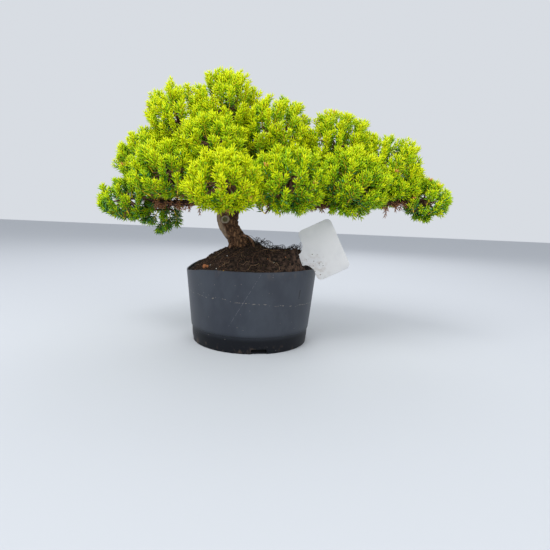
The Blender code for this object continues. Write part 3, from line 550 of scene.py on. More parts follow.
# ---------------------------------------------------------------- helpers for materials
class Nodes:
    """A shader node tree with short ways to add to it."""

    def __init__(self, tree):
        self.tree = tree

    def feed(self, socket, value):
        """Links a socket to another one, or sets it to a number, a place or a colour."""
        if isinstance(value, bpy.types.NodeSocket):
            self.tree.links.new(value, socket)
        elif socket.type == "RGBA":
            socket.default_value = (*value, 1.0)
        else:
            socket.default_value = value

    def add(self, kind, inputs=None, **settings):
        made = self.tree.nodes.new("ShaderNode" + kind)
        for name, value in settings.items():
            setattr(made, name, value)
        for key, value in (inputs or {}).items():
            self.feed(made.inputs[key], value)
        return made

    def math(self, operation, *values, clamp=False):
        inputs = dict(enumerate(values))
        return self.add("Math", inputs, operation=operation, use_clamp=clamp).outputs[0]

    def times(self, first, second):
        return self.math("MULTIPLY", first, second)

    def ramp(self, value, low, high, bottom=0.0, top=1.0, kind="LINEAR"):
        """Goes from bottom to top while the value goes from low to high."""
        inputs = {"Value": value, "From Min": low, "From Max": high,
                  "To Min": bottom, "To Max": top}
        return self.add("MapRange", inputs, interpolation_type=kind).outputs["Result"]

    def noise(self, place, scale, detail, **more):
        inputs = {"Vector": place, "Scale": scale, "Detail": detail, **more}
        return self.add("TexNoise", inputs).outputs["Fac"]

    def place(self):
        return self.add("TexCoord").outputs["Object"]

    def coordinates(self):
        return self.add("SeparateXYZ", {"Vector": self.place()}).outputs

    def distance(self, point):
        """How far the shaded place lies from a point."""
        inputs = {0: self.place(), 1: point}
        return self.add("VectorMath", inputs, operation="DISTANCE").outputs["Value"]


class SharedNodes(Nodes):
    """A node group with named numbers for inputs, which gives masks and heights."""

    def __init__(self, name, inputs, outputs):
        super().__init__(bpy.data.node_groups.new(name, "ShaderNodeTree"))
        new_socket = self.tree.interface.new_socket
        for title, value in inputs.items():
            socket = new_socket(title, in_out="INPUT", socket_type="NodeSocketFloat")
            socket.default_value = value
        for title in outputs:
            new_socket(title, in_out="OUTPUT", socket_type="NodeSocketFloat")
        self.given = self.tree.nodes.new("NodeGroupInput").outputs
        self.result = self.tree.nodes.new("NodeGroupOutput").inputs


def grain_group():
    """Soft-edged mottling: a noise cut to a mask between two levels."""
    group = SharedNodes(
        "mottling", {"Scale": 300.0, "Detail": 5.0, "Stretch": 1.0, "Low": 0.4, "High": 0.6},
        ("Mask", "Height"))
    given = group.given
    squeeze = group.add("CombineXYZ", {"X": 1.0, "Y": 1.0, "Z": given["Stretch"]}).outputs[0]
    place = group.add("VectorMath", {0: group.place(), 1: squeeze}, operation="MULTIPLY").outputs[0]
    field = group.noise(place, given["Scale"], given["Detail"], Roughness=0.6)
    level = group.ramp(field, given["Low"], given["High"], kind="SMOOTHSTEP")
    group.feed(group.result["Mask"], level)
    group.feed(group.result["Height"], field)
    return group.tree


def speck_group():
    """Separate specks: the middles of cells, only some of which are filled."""
    group = SharedNodes("specks", {"Scale": 500.0, "Size": 0.25, "Share": 0.3}, ("Mask",))
    cells = group.add("TexVoronoi", {"Vector": group.place(), "Scale": group.given["Scale"]})
    close = group.math("LESS_THAN", cells.outputs["Distance"], group.given["Size"])
    value = group.add("SeparateColor", {"Color": cells.outputs["Color"]}).outputs[0]
    chosen = group.math("LESS_THAN", value, group.given["Share"])
    group.feed(group.result["Mask"], group.times(close, chosen))
    return group.tree


def line_group():
    """A thin broken line on an upright face: height = Level + Slope * x + a waver."""
    group = SharedNodes(
        "broken_line",
        {"Level": 0.06, "Slope": 0.0, "Waver": 0.001, "Width": 0.0003, "Cover": 0.5}, ("Mask",))
    given = group.given
    x, _, z = group.coordinates()
    wander = group.noise(group.place(), 45.0, 3.0)
    offset = group.times(group.math("SUBTRACT", wander, 0.5), given["Waver"])
    straight = group.math("MULTIPLY_ADD", x, given["Slope"], given["Level"])
    away = group.math("SUBTRACT", z, group.math("ADD", straight, offset))
    inside = group.math("LESS_THAN", group.math("ABSOLUTE", away), given["Width"])
    kept = group.math("LESS_THAN", group.noise(group.place(), 420.0, 4.0), given["Cover"])
    group.feed(group.result["Mask"], group.times(inside, kept))
    return group.tree


GRAIN = grain_group()
SPECKS = speck_group()
BROKEN_LINE = line_group()


class Finish(Nodes):
    """A material whose colour is laid on in coats."""

    def __init__(self, name, colour, roughness, specular=0.5):
        self.material = bpy.data.materials.new(name)
        self.material.use_nodes = True
        super().__init__(self.material.node_tree)
        self.shader = self.tree.nodes["Principled BSDF"].inputs
        self.colour = colour
        self.feed(self.shader["Base Color"], colour)
        self.feed(self.shader["Roughness"], roughness)
        self.feed(self.shader["Specular IOR Level"], specular)

    def group(self, tree, names, values):
        return self.add("Group", dict(zip(names, values)), node_tree=tree).outputs

    def grain(self, *values):
        """Mask and height of a mottling: scale, detail, stretch, low and high level."""
        return self.group(GRAIN, ("Scale", "Detail", "Stretch", "Low", "High"), values)

    def specks(self, *values):
        """Mask of specks: scale, size and the share of the cells that are filled."""
        return self.group(SPECKS, ("Scale", "Size", "Share"), values)["Mask"]

    def line(self, *values):
        """Mask of a line: level, slope, waver, half its width and how much of it is drawn."""
        names = ("Level", "Slope", "Waver", "Width", "Cover")
        return self.group(BROKEN_LINE, names, values)["Mask"]

    def attribute(self, name):
        return self.add("Attribute", attribute_name=name).outputs["Fac"]

    def coat(self, mask, colour, strength=None, under=None):
        """Lays a colour where the mask says, over what is there or over the colour given."""
        if strength is not None:
            mask = self.times(mask, strength)
        inputs = {"Factor": mask, 6: under or self.colour, 7: colour}
        self.colour = self.add("Mix", inputs, data_type="RGBA").outputs[2]

    def done(self, height, distance, strength=1.0):
        """The material, once its coats and the relief are joined to the shader."""
        self.feed(self.shader["Base Color"], self.colour)
        bump = self.add("Bump", {"Height": height, "Distance": distance, "Strength": strength})
        self.feed(self.shader["Normal"], bump.outputs["Normal"])
        return self.material


# ---------------------------------------------------------------- finishes
def pot_finish():
    pot = Finish("pot_plastic", (0.030, 0.033, 0.037), 0.42)
    _, y, z = pot.coordinates()
    cloud = pot.grain(38.0, 6.0, 0.5, 0.35, 0.70)
    pot.coat(cloud["Mask"], (0.035, 0.043, 0.057), under=(0.021, 0.026, 0.038))
    # Painted shade: the band round the foot, below its shelf, is darkened and made less shiny,
    # standing in for the shadow and dark reflection there.
    foot = pot.ramp(z, POT_FOOT_HEIGHT + 0.0050, POT_FOOT_HEIGHT - 0.0050, kind="SMOOTHSTEP")
    pot.coat(foot, (0.006, 0.007, 0.010))
    pot.feed(pot.shader["Specular IOR Level"], pot.ramp(foot, 0.0, 1.0, 0.42, 0.15))
    for line, low, high, furthest_back, strength, colour in POT_MARKS:
        within = pot.times(pot.math("GREATER_THAN", z, low), pot.math("LESS_THAN", z, high))
        within = pot.times(within, pot.math("LESS_THAN", y, furthest_back))
        pot.coat(pot.times(pot.line(*line), within), colour, strength)
    pot.coat(pot.specks(330.0, 0.13, 0.07), (0.22, 0.20, 0.18), 0.6)
    dirt = pot.grain(160.0, 6.0, 0.7, 0.52, 0.64)["Mask"]
    at_edges = pot.math("ADD", pot.ramp(z, 0.0090, 0.0), pot.ramp(z, 0.0740, 0.0850, 0.0, 0.4))
    pot.coat(pot.math("MULTIPLY", dirt, at_edges, clamp=True), (0.110, 0.080, 0.060), 0.7)
    pot.feed(pot.shader["Roughness"], pot.ramp(cloud["Height"], 0.0, 1.0, 0.34, 0.52))
    return pot.done(pot.grain(900.0, 3.0, 1.0)["Height"], 0.00006, 0.5)


def peat_finish():
    peat = Finish("peat", (0.035, 0.020, 0.013), 0.95, 0.2)
    coarse = peat.grain(260.0, 6.0, 1.0, 0.40, 0.62)
    peat.coat(coarse["Mask"], (0.066, 0.040, 0.028), under=(0.006, 0.004, 0.003))
    peat.coat(peat.grain(900.0, 4.0, 0.25, 0.60, 0.68)["Mask"], (0.120, 0.070, 0.042))
    # Painted shade: below 12 mm, where it shows only through the drain slots, the peat is made near
    # black.
    peat.coat(peat.math("LESS_THAN", peat.coordinates()["Z"], 0.0120), (0.001, 0.001, 0.001))
    return peat.done(coarse["Height"], 0.0014)


def bark_finish(name):
    """Flaky bark: cracks darkened as painted shade, lighter plates and a smooth pale strip, by the
    mesh's masks.
    """
    dark, light, pale, scale = BARKS[name][:4]
    bark = Finish(name, light, 0.88, 0.25)
    flakes = bark.grain(scale, 6.0, 0.35, 0.42, 0.62)
    bark.coat(flakes["Mask"], light, under=dark)
    streaks = bark.grain(2.2 * scale, 4.0, 0.20, 0.50, 0.70)["Mask"]
    streaked = bark.math("ADD", bark.times(streaks, 0.5), 0.5)
    bark.coat(bark.times(bark.attribute("pale"), streaked), pale)
    # Painted shade: the cracks are darkened to about a third of the dark bark colour.
    bark.coat(bark.attribute("crack"), tuple(0.35 * part for part in dark))
    return bark.done(flakes["Height"], 0.0006)


def label_finish():
    label = Finish("label_plastic", (0.61, 0.61, 0.61), 0.42, 0.35)
    haze = label.grain(60.0, 5.0, 1.0, 0.35, 0.75)
    label.coat(haze["Mask"], (0.555, 0.556, 0.560), under=(0.615, 0.612, 0.608))
    close = label.ramp(label.distance(LABEL_SOILED_AT), 0.020, 0.005)
    soiled = label.math("GREATER_THAN", close, 0.32)
    label.coat(label.times(label.specks(520.0, 0.30, 0.26), soiled), (0.090, 0.055, 0.035))
    film = label.grain(240.0, 5.0, 1.0, 0.48, 0.62)["Mask"]
    label.coat(label.times(film, close), (0.38, 0.31, 0.25), 0.40)
    return label.done(haze["Height"], 0.0001, 0.4)


def wood_face_finish():
    """Cut face of a pruned bough: a pale ring of callus round a dark, mossy middle."""
    face = Finish("cut_face", (0.40, 0.34, 0.27), 0.8, 0.3)
    away = face.distance(SCAR_PLACE)
    ring = face.ramp(away, 0.0024, 0.0030)
    face.coat(ring, (0.330, 0.270, 0.190), under=(0.085, 0.085, 0.030))
    flakes = face.grain(900.0, 4.0, 1.0, 0.45, 0.62)
    worn = face.math("MAXIMUM", face.ramp(away, 0.0042, 0.0056), face.times(flakes["Mask"], 0.45))
    face.coat(worn, (0.130, 0.080, 0.052))
    return face.done(flakes["Height"], 0.0004)


def plain_finish(name):
    return Finish(name, *PLAIN_FINISHES[name]).material


def needle_finish(colour):
    rough = 0.85 if colour == "dead_brown" else 0.46
    needles = Finish("needles_" + colour, NEEDLE_COLOURS[colour], rough, 0.32)
    needles.feed(needles.shader["Specular Tint"], (1.0, 1.0, 0.35))
    return needles.material


# ---------------------------------------------------------------- pot
def rim_height(angle):
    height = POT_HEIGHT
    for order, along, across_it in RIM_WAVES:
        height += along * math.cos(order * angle) + across_it * math.sin(order * angle)
    return height


def pot_shape(place):
    """Moves a point of the round pot to the oval pot with the hand-cut rim."""
    angle = math.atan2(place.y, place.x)
    share = place.z / POT_HEIGHT
    deep = (1.0 - share) + share * POT_RIM_RADIUS_Y / POT_RIM_RADIUS_X
    height = place.z
    if place.z > POT_FOOT_HEIGHT:
        above = (place.z - POT_FOOT_HEIGHT) / (POT_HEIGHT - POT_FOOT_HEIGHT)
        height = POT_FOOT_HEIGHT + above * (rim_height(angle) - POT_FOOT_HEIGHT)
    return Vector((place.x, place.y * deep, height))


def pot_radius(height):
    share = height / POT_HEIGHT
    radius = POT_BASE_RADIUS + share * (POT_RIM_RADIUS_X - POT_BASE_RADIUS)
    return radius + (POT_FOOT_STEP if height > POT_FOOT_HEIGHT else 0.0)


def dented_pot_shape(place):
    """The pot's shape with shallow dents, and small nicks in the cut rim."""
    angle = math.atan2(place.y, place.x)
    shaped = pot_shape(place)
    around = Vector((math.cos(angle), math.sin(angle), 12.0 * place.z))
    share = smooth((place.z - POT_EDGE) / (POT_HEIGHT - POT_EDGE))
    dent = DENT_DEPTH * share * noise.noise(around * 1.7)
    shaped += Vector((shaped.x, shaped.y, 0.0)).normalized() * dent
    nick = noise.noise(Vector((math.cos(angle), math.sin(angle), 0.3)) * 9.0)
    shaped.z += NICK_DEPTH * nick * smooth((place.z - 0.9 * POT_HEIGHT) / (0.1 * POT_HEIGHT))
    return shaped


def bevelled(work, edges, offset, segments):
    bmesh.ops.bevel(work, geom=edges, offset=offset, segments=segments, profile=0.5,
                    affect="EDGES", material=-1)


def drain_cutter(angle):
    """A round-cornered block through the wall, with its foot below the ground."""
    work = bmesh.new()
    bmesh.ops.create_cube(work, size=1.0)
    bmesh.ops.scale(work, vec=(4.0 * POT_WALL, DRAIN_WIDTH, 2.0 * DRAIN_HEIGHT), verts=work.verts)
    long_edges = [edge for edge in work.edges
                  if abs(edge.verts[0].co.x - edge.verts[1].co.x) > 2.0 * POT_WALL]
    bevelled(work, long_edges, DRAIN_CORNER, 4)
    turn = Matrix.Rotation(angle, 3, "Z")
    bmesh.ops.rotate(work, cent=MIDDLE, matrix=turn, verts=work.verts)
    in_wall = (POT_BASE_RADIUS * math.cos(angle), POT_BASE_RADIUS * math.sin(angle), 0.0)
    bmesh.ops.translate(work, verts=work.verts, vec=in_wall)
    return placed("drain_cutter", mesh_of(work, "drain_cutter"))


def pot_profile():
    """The wall's section: underside, foot, outside, rounded lip, inside and floor."""
    half = 0.5 * POT_WALL
    top = pot_radius(POT_HEIGHT)
    foot = pot_radius(POT_FOOT_HEIGHT)
    profile = [(0.0, 0.0), (POT_BASE_RADIUS - POT_EDGE, 0.0)]
    profile += [(pot_radius(POT_EDGE) - POT_EDGE * (1.0 - math.sin(a)),
                 POT_EDGE * (1.0 - math.cos(a))) for a in ROUND_EDGE[:3]]
    profile += [(pot_radius(0.5 * POT_FOOT_HEIGHT), 0.5 * POT_FOOT_HEIGHT),
                (foot - FOOT_GROOVE, POT_FOOT_HEIGHT - 0.0008),
                (foot - FOOT_GROOVE, POT_FOOT_HEIGHT - 0.0001),
                (foot + POT_FOOT_STEP, POT_FOOT_HEIGHT + 0.0005)]
    profile += [(pot_radius(z), z) for z in np.linspace(0.022, POT_HEIGHT - half, 12)]
    profile += [(top - half + half * math.cos(a), POT_HEIGHT - half + half * math.sin(a))
                for a in ROUND_EDGE]
    profile += [(pot_radius(z) - POT_WALL, z)
                for z in np.linspace(POT_HEIGHT - half, POT_FOOT_HEIGHT + 0.001, 8)]
    return profile + [(pot_radius(POT_FLOOR) - POT_WALL, POT_FLOOR), (0.0, POT_FLOOR)]


def make_pot():
    shell = mesh_of(moved(turned(pot_profile(), POT_SIDES), dented_pot_shape), "pot_shell")
    blank = placed("pot_blank", shell)
    cutters = []
    for index in range(DRAIN_COUNT):
        cutters.append(drain_cutter(DRAIN_FIRST_ANGLE + index * 2.0 * math.pi / DRAIN_COUNT))
        cut = blank.modifiers.new("drain", "BOOLEAN")
        cut.operation = "DIFFERENCE"
        cut.solver = "EXACT"
        cut.object = cutters[-1]
    cut_shell = evaluated_mesh(blank)
    for obj in [blank] + cutters:
        bpy.data.objects.remove(obj)
    as_piece("pot_shell", cut_shell, pot_finish(), ["pot"], 32.0)


# ---------------------------------------------------------------- soil
def mound_distance(place):
    flat = Vector((place.x, place.y, 0.0))
    nearest, share = intersect_point_line(flat, MOUND_START, MOUND_END)
    if share < 0.0:
        nearest = MOUND_START
    elif share > 1.0:
        nearest = MOUND_END
    return max(0.0, (flat - nearest).length - MOUND_RADIUS)


def soil_edge(angle, height):
    radius = pot_radius(height) - POT_WALL - 2.0 * GAP
    return pot_shape(Vector((radius * math.cos(angle), radius * math.sin(angle), height)))


def wall_beyond(place):
    """Where the line from the mound's middle through a place meets the pot's inner wall."""
    wide = pot_radius(SOIL_EDGE) - POT_WALL - 2.0 * GAP
    deep = soil_edge(0.5 * math.pi, SOIL_EDGE).y
    run = Vector(((place.x - MOUND_MIDDLE.x) / wide, (place.y - MOUND_MIDDLE.y) / deep))
    start = Vector((MOUND_MIDDLE.x / wide, MOUND_MIDDLE.y / deep))
    a, b, c = run.dot(run), 2.0 * run.dot(start), start.dot(start) - 1.0
    share = (-b + math.sqrt(b * b - 4.0 * a * c)) / (2.0 * a) if a > 1e-12 else 1e6
    x = MOUND_MIDDLE.x + share * (place.x - MOUND_MIDDLE.x)
    y = MOUND_MIDDLE.y + share * (place.y - MOUND_MIDDLE.y)
    return soil_edge(math.atan2(y / deep, x / wide), SOIL_EDGE)


def soil_height(place, wall_place):
    """Height of the even mound, or of the soil heaped against the trunk where that is higher."""
    outside = mound_distance(place)
    height = SOIL_TOP
    if outside > 0.0:
        to_wall = (Vector((wall_place.x, wall_place.y)) - Vector((place.x, place.y))).length
        height += (wall_place.z - SOIL_TOP) * smooth(outside / (outside + to_wall))
    from_heap = math.hypot(place.x - HEAP_MIDDLE.x, place.y - HEAP_MIDDLE.y)
    if from_heap < HEAP_RADII[-1]:
        height = max(height, float(np.interp(from_heap, HEAP_RADII, HEAP_HEIGHTS)))
    for middle, spread, rise in SOIL_SWELLS:
        away = sum(((place[i] - middle[i]) / spread[i]) ** 2 for i in (0, 1))
        height += rise * math.exp(-away)
    return height


def soil_roughness(place):
    """Height of the peat's lumps and crumbs over its even surface."""
    flat = Vector((place.x, place.y, 0.0))
    lumps = noise.fractal(flat * 70.0, 0.9, 2.0, 3)
    crumbs = 0.6 - min(1.0, noise.voronoi(flat * 330.0)[0][0])
    return LUMP_HEIGHT * lumps + CRUMB_HEIGHT * crumbs + DUST_HEIGHT * noise.noise(flat * 900.0)


def soil_surface(x, y):
    """A place on the rough top of the soil."""
    flat = Vector((x, y, 0.0))
    return Vector((x, y, soil_height(flat, wall_beyond(flat)) + soil_roughness(flat)))


def make_soil():
    """One closed body: its top, then the side down the wall, and the floor."""
    profile = [(ring / SOIL_RINGS, SOIL_TOP) for ring in range(SOIL_RINGS + 1)]
    profile += [(1.0, 0.5 * SOIL_EDGE), (1.0, POT_FLOOR + GAP), (0.0, POT_FLOOR + GAP)]

    def shaped(place):
        angle = math.atan2(place.y, place.x)
        share = min(1.0, Vector((place.x, place.y)).length)
        if place.z < SOIL_TOP - GAP:
            edge = soil_edge(angle, place.z)
            return Vector((edge.x * share, edge.y * share, place.z))
        edge = soil_edge(angle, SOIL_EDGE)
        flat = edge * share + MOUND_MIDDLE * (1.0 - share)
        inner = smooth(6.0 * (1.0 - share))
        return Vector((flat.x, flat.y, soil_height(flat, edge) + inner * soil_roughness(flat)))

    body = moved(turned(profile, SOIL_SIDES), shaped)
    as_piece("peat_mound", body, peat_finish(), ["soil"], 60.0)


def random_soil_place(rng, reach):
    """A place on the soil within a share of the way to the wall."""
    angle = rng.uniform(0.0, 2.0 * math.pi)
    edge = soil_edge(angle, SOIL_EDGE) * (reach * math.sqrt(rng.random()))
    return soil_surface(edge.x, edge.y)


def lump_shape(rng, size, flatness):
    """A small angular lump of twenty faces."""
    work = bmesh.new()
    bmesh.ops.create_icosphere(work, subdivisions=1, radius=1.0)
    turn = Matrix.Rotation(rng.uniform(0.0, TURN), 3,
                           (rng.random(), rng.random(), rng.random() + 0.1))
    wide, deep = rng.uniform(0.7, 1.3), rng.uniform(0.6, 1.0)
    for vertex in work.verts:
        vertex.co *= rng.uniform(0.72, 1.15)
        x, y, z = vertex.co
        vertex.co = turn @ Vector((x * wide, y * deep, z * flatness)) * size
    work.verts.index_update()
    points = np.array([tuple(vertex.co) for vertex in work.verts])
    faces = np.array([[vertex.index for vertex in face.verts] for face in work.faces])
    work.free()
    return points, faces


def make_crumbs(rng):
    """Peat crumbs, perlite grains, bark chips and a leaf scrap that lie on the soil."""
    shapes = [lump_shape(rng, 1.0, 0.7) for _ in range(12)]
    for name, finish, count, reach, lift, least, most in SOIL_GRAINS:
        heap = Heap()
        for _ in range(count):
            place = random_soil_place(rng, reach) + UP * lift
            points, faces = rng.choice(shapes)
            heap.add(points * rng.uniform(least, most) + np.array(place), faces)
        as_piece(name, heap, plain_finish(finish))
    for name, finish, flatness, lift, bits in SOIL_BITS:
        heap = Heap()
        for x, y, size in bits:
            points, faces = lump_shape(rng, size, flatness)
            heap.add(points + np.array(soil_surface(x, y) + UP * lift * size), faces)
        as_piece(name, heap, plain_finish(finish))


def add_fibre(heap, rng):
    """A fine fibre that wanders over the soil and ends where it nears the wall."""
    start = random_soil_place(rng, 0.86)
    angle = rng.uniform(0.0, 2.0 * math.pi)
    length = rng.uniform(0.005, 0.020)
    path = []
    for k in range(FIBRE_POINTS):
        run = length * (k / (FIBRE_POINTS - 1.0))
        angle += rng.uniform(-0.35, 0.35)
        x = start.x + run * math.cos(angle)
        y = start.y + run * math.sin(angle)
        if (x / POT_RIM_RADIUS_X) ** 2 + (y / POT_RIM_RADIUS_Y) ** 2 > FIBRE_LIMIT:
            break
        path.append(tuple(soil_surface(x, y) + UP * rng.uniform(0.0002, 0.0012)))
    if len(path) > 2:
        thickness = rng.uniform(0.00008, 0.00019)
        add_tube(heap, path, [thickness] * len(path), 4)


def add_wiry_root(heap, index, rng):
    """A thin root that loops above the mound, highest at the mound's two ends."""
    share = rng.random()
    start = soil_surface(0.001 + 0.052 * share, rng.uniform(-0.008, 0.012) - 0.012 * share)
    swing = Vector((rng.uniform(-0.016, 0.018), rng.uniform(-0.010, 0.010), 0.0))
    end = soil_surface(start.x + swing.x, start.y + swing.y)
    rise = rng.uniform(0.0014, 0.0052) + 0.0045 * math.exp(-share / 0.18)
    rise += 0.0040 * math.exp((share - 1.0) / 0.07)
    lean = Vector((rng.uniform(-0.008, 0.008), rng.uniform(-0.006, 0.006), 0.0))
    if index % 3 == 0:
        end += UP * rise * rng.uniform(0.4, 1.1)
    shares = [k / (WIRY_ROOT_POINTS - 1.0) for k in range(WIRY_ROOT_POINTS)]
    path = []
    for t in shares:
        place = start.lerp(end, t) + (UP * rise + lean) * math.sin(math.pi * t)
        wobble = noise_shift(Vector((9.0 * t, index, 0.5)))
        path.append(tuple(place + wobble * 0.0012 * math.sin(math.pi * min(1.0, 2.0 * t))))
    thickness = rng.uniform(0.00017, 0.00036)
    add_tube(heap, path, [thickness * (1.0 - 0.6 * t) for t in shares], 4)


def make_fibres(rng):
    """Fine fibres lying on the soil, and dark wiry roots above the mound."""
    pale, brown, wires = Heap(), Heap(), Heap()
    for index in range(FIBRES):
        add_fibre(pale if index % 5 == 0 else brown, rng)
    for index in range(WIRY_ROOTS):
        add_wiry_root(wires, index, rng)
    as_piece("pale_fibres", pale, plain_finish("pale_fibre"))
    as_piece("brown_fibres", brown, plain_finish("brown_fibre"))
    as_piece("wiry_roots", wires, plain_finish("wiry_root"))


# ---------------------------------------------------------------- limbs, by the part's rule
def eased(points, spans):
    """Points on a smooth curve through the given ones, each with any number of coordinates."""
    rows = []
    for i in range(len(points) - 1):
        before = points[max(0, i - 1)]
        after = points[min(len(points) - 1, i + 2)]
        for k in range(spans):
            t = k / spans
            row = []
            for a, b, c, d in zip(before, points[i], points[i + 1], after):
                row.append(0.5 * (2.0 * b + (c - a) * t + (2.0 * a - 5.0 * b + 4.0 * c - d) * t * t
                                  + (3.0 * b - a - 3.0 * c + d) * t ** 3))
            rows.append(row)
    rows.append(list(points[-1]))
    return rows


class Limb:
    """A tapering limb: the points of its axis and the radius at each."""

    def __init__(self, points, radii):
        self.points = points
        self.radii = radii
        self.array = np.array([tuple(point) for point in points])
        self.radius_array = np.array(radii)

    def at(self, share):
        lengths = [0.0]
        for a, b in zip(self.points, self.points[1:]):
            lengths.append(lengths[-1] + (b - a).length)
        wanted = share * lengths[-1]
        for i in range(1, len(lengths)):
            if wanted <= lengths[i]:
                t = (wanted - lengths[i - 1]) / (lengths[i] - lengths[i - 1])
                point = self.points[i - 1].lerp(self.points[i], t)
                return point, self.radii[i - 1] + t * (self.radii[i] - self.radii[i - 1])
        return self.points[-1], self.radii[-1]

    def clearances(self, places):
        """Distance from each place to the limb's surface."""
        first = self.array[:-1][None]
        run = (self.array[1:] - self.array[:-1])[None]
        to_place = places[:, None] - first
        t = np.clip((to_place * run).sum(axis=2) / (run * run).sum(axis=2), 0.0, 1.0)
        radius = self.radius_array[:-1] + t * (self.radius_array[1:] - self.radius_array[:-1])
        distance = np.linalg.norm(to_place - t[:, :, None] * run, axis=2) - radius
        return distance.min(axis=1)

    def clearance(self, place):
        return self.clearances(np.array([tuple(place)]))[0]


def trunk_limb(spans):
    rows = eased([(x, y, z, r) for z, x, y, r in TRUNK_SECTIONS], spans)
    return Limb([Vector(row[:3]) for row in rows], [row[3] for row in rows])


def mass_reach(name, toward):
    """How far a mass reaches from its centre in a direction."""
    wide, deep, high, low = MASSES[name][1]
    x, y, z = toward
    rise = high if z > 0.0 else low
    return 1.0 / math.sqrt((x / wide) ** 2 + (y / deep) ** 2 + (z / rise) ** 2)


def mass_weight(name):
    wide, deep = MASSES[name][1][:2]
    return 0.5 * (wide + deep)


def mass_walls(name):
    """The flat walls towards the other masses, as unit normals and offsets."""
    centre = CENTRES[name]
    normals = []
    offsets = []
    for other, far in CENTRES.items():
        if other != name:
            run = far - centre
            length = np.linalg.norm(run)
            gain = far @ far - centre @ centre - mass_weight(other) ** 2 + mass_weight(name) ** 2
            normals.append(run / length)
            offsets.append(0.5 * gain / length)
    return np.array(normals), np.array(offsets)


CENTRES = {name: np.array(row[0]) for name, row in MASSES.items()}
WALLS = {name: mass_walls(name) for name in MASSES}


def space_left(name, places):
    """How far places lie inside the walls of a mass's own space."""
    normals, offsets = WALLS[name]
    return (offsets - np.atleast_2d(places) @ normals.T).min(axis=1)


def entry_point(mass_name, start, parent):
    """Where a bough ends inside its mass, clear of the walls and of the bough's parent."""
    centre = Vector(MASSES[mass_name][0])
    toward = (start - centre).normalized()
    distance = BOUGH_ENTRY * mass_reach(mass_name, toward)
    point = centre + toward * distance
    while (space_left(mass_name, tuple(point))[0] < ENTRY_MARGIN
           or parent.clearance(point) < ENTRY_DISTANCE):
        distance *= 0.95
        point = centre + toward * distance
    return point


def seated_start(parent, origin, toward, root_radius):
    """Where a bough starts so that its whole root ring is clear of its parent."""
    side = toward.orthogonal().normalized()
    other = toward.cross(side)
    rim = [Vector()]
    for k in range(12):
        angle = math.radians(30.0 * k)
        rim.append((side * math.cos(angle) + other * math.sin(angle)) * root_radius)
    offsets = np.array([tuple(offset) for offset in rim])
    distance = 0.0
    while parent.clearances(offsets + np.array(origin + toward * distance)).min() < GAP:
        distance += SEAT_STEP
    return origin + toward * distance


def bough_limb(name, limbs):
    parent_name, share, mass_name, root_radius, tip_radius, sag = BOUGHS[name]
    parent = limbs[parent_name]
    origin = parent.at(share)[0]
    tip = entry_point(mass_name, origin, parent)
    toward = (tip - origin).normalized()
    for _ in range(3):
        start = seated_start(parent, origin, toward, root_radius)
        bend = (start + tip) * 0.5 - UP * sag
        toward = (bend - start).normalized()
    points = []
    radii = []
    for i in range(BOUGH_SPANS + 1):
        t = i / BOUGH_SPANS
        points.append(start * (1.0 - t) ** 2 + bend * 2.0 * t * (1.0 - t) + tip * t * t)
        radii.append(root_radius + (tip_radius - root_radius) * t)
    return Limb(points, radii)


# ---------------------------------------------------------------- bark
def bark_height(place, plate):
    """Relief of flaky bark and how deep in a crack the place lies; plate is the flakes' size."""
    warp = noise_shift(place / (3.0 * plate)) * 0.45
    stretched = Vector((place.x / plate, place.y / plate, 0.42 * place.z / plate)) + warp
    near, second = noise.voronoi(stretched)[0][:2]
    crack = 1.0 - smooth((second - near) / 0.30)
    lump = noise.fractal(place / (2.2 * plate), 0.9, 2.0, 4)
    return plate * (0.16 * lump - 0.20 * crack + 0.06 * noise.noise(place / (0.22 * plate))), crack


def barked(work, kind, pale_rule=None):
    """Raises the bark on a limb and keeps its cracks, for painted shade, and its pale places as
    masks on the points.
    """
    plate, amount = BARKS[kind][4:]
    work.normal_update()
    crack_shade_layer = work.verts.layers.float.new("crack")
    pale_layer = work.verts.layers.float.new("pale")
    heights = {}
    for vertex in work.verts:
        pale = pale_rule(vertex.co) if pale_rule else 0.0
        height, crack = bark_height(vertex.co, plate)
        heights[vertex] = amount * height * (1.0 - 0.75 * pale)
        # Mask of the painted shade in the cracks, weaker on the pale strip.
        vertex[crack_shade_layer] = 0.85 * crack * (1.0 - 0.8 * pale)
        vertex[pale_layer] = pale
    for vertex, height in heights.items():
        vertex.co += vertex.normal * height
    return work


def flare(height, angle):
    share = 1.0 - (height - SOIL_TOP) / FLARE_HEIGHT
    if share <= 0.0:
        return 0.0
    lobe = 0.55 + 0.45 * math.cos(FLARE_LOBES * angle + 0.6)
    return FLARE_REACH * share * share * lobe


def trunk_paleness(place):
    """The smooth, weathered strip up the trunk's left side."""
    edge = PALE_EDGE + 0.45 * max(0.0, PALE_BEND - place.z)
    inward = place.x - edge + 0.0012 * noise.noise(place * 160.0)
    upright = smooth((place.z - PALE_LOW) / PALE_FADE) * smooth((PALE_HIGH - place.z) / PALE_FADE)
    across_it = 1.0 - smooth((inward - PALE_WIDTH) / PALE_WIDTH)
    return upright * across_it * smooth((PALE_BACK - place.y) / PALE_FADE)


def make_trunk():
    limb = trunk_limb(TRUNK_SPANS)
    heights = [point.z for point in limb.points]
    profile = [(0.0, heights[-1] + TRUNK_POINT)]
    profile += list(zip(reversed(limb.radii), reversed(heights)))
    profile += [(limb.radii[0], SOIL_TOP - TRUNK_BURIED), (0.0, SOIL_TOP - TRUNK_BURIED)]

    def lean(place):
        index = min(range(len(heights)), key=lambda i: abs(heights[i] - place.z))
        axis = limb.points[index]
        radius = Vector((place.x, place.y)).length
        angle = math.atan2(place.y, place.x)
        if radius > 0.0:
            radius += flare(max(place.z, SOIL_TOP), angle)
        x = axis.x + radius * math.cos(angle)
        return Vector((x, axis.y + radius * math.sin(angle), place.z))

    work = barked(moved(turned(profile, TRUNK_SIDES), lean), "trunk_bark", trunk_paleness)
    as_piece("trunk_bark", work, bark_finish("trunk_bark"), ["trunk"], 70.0)


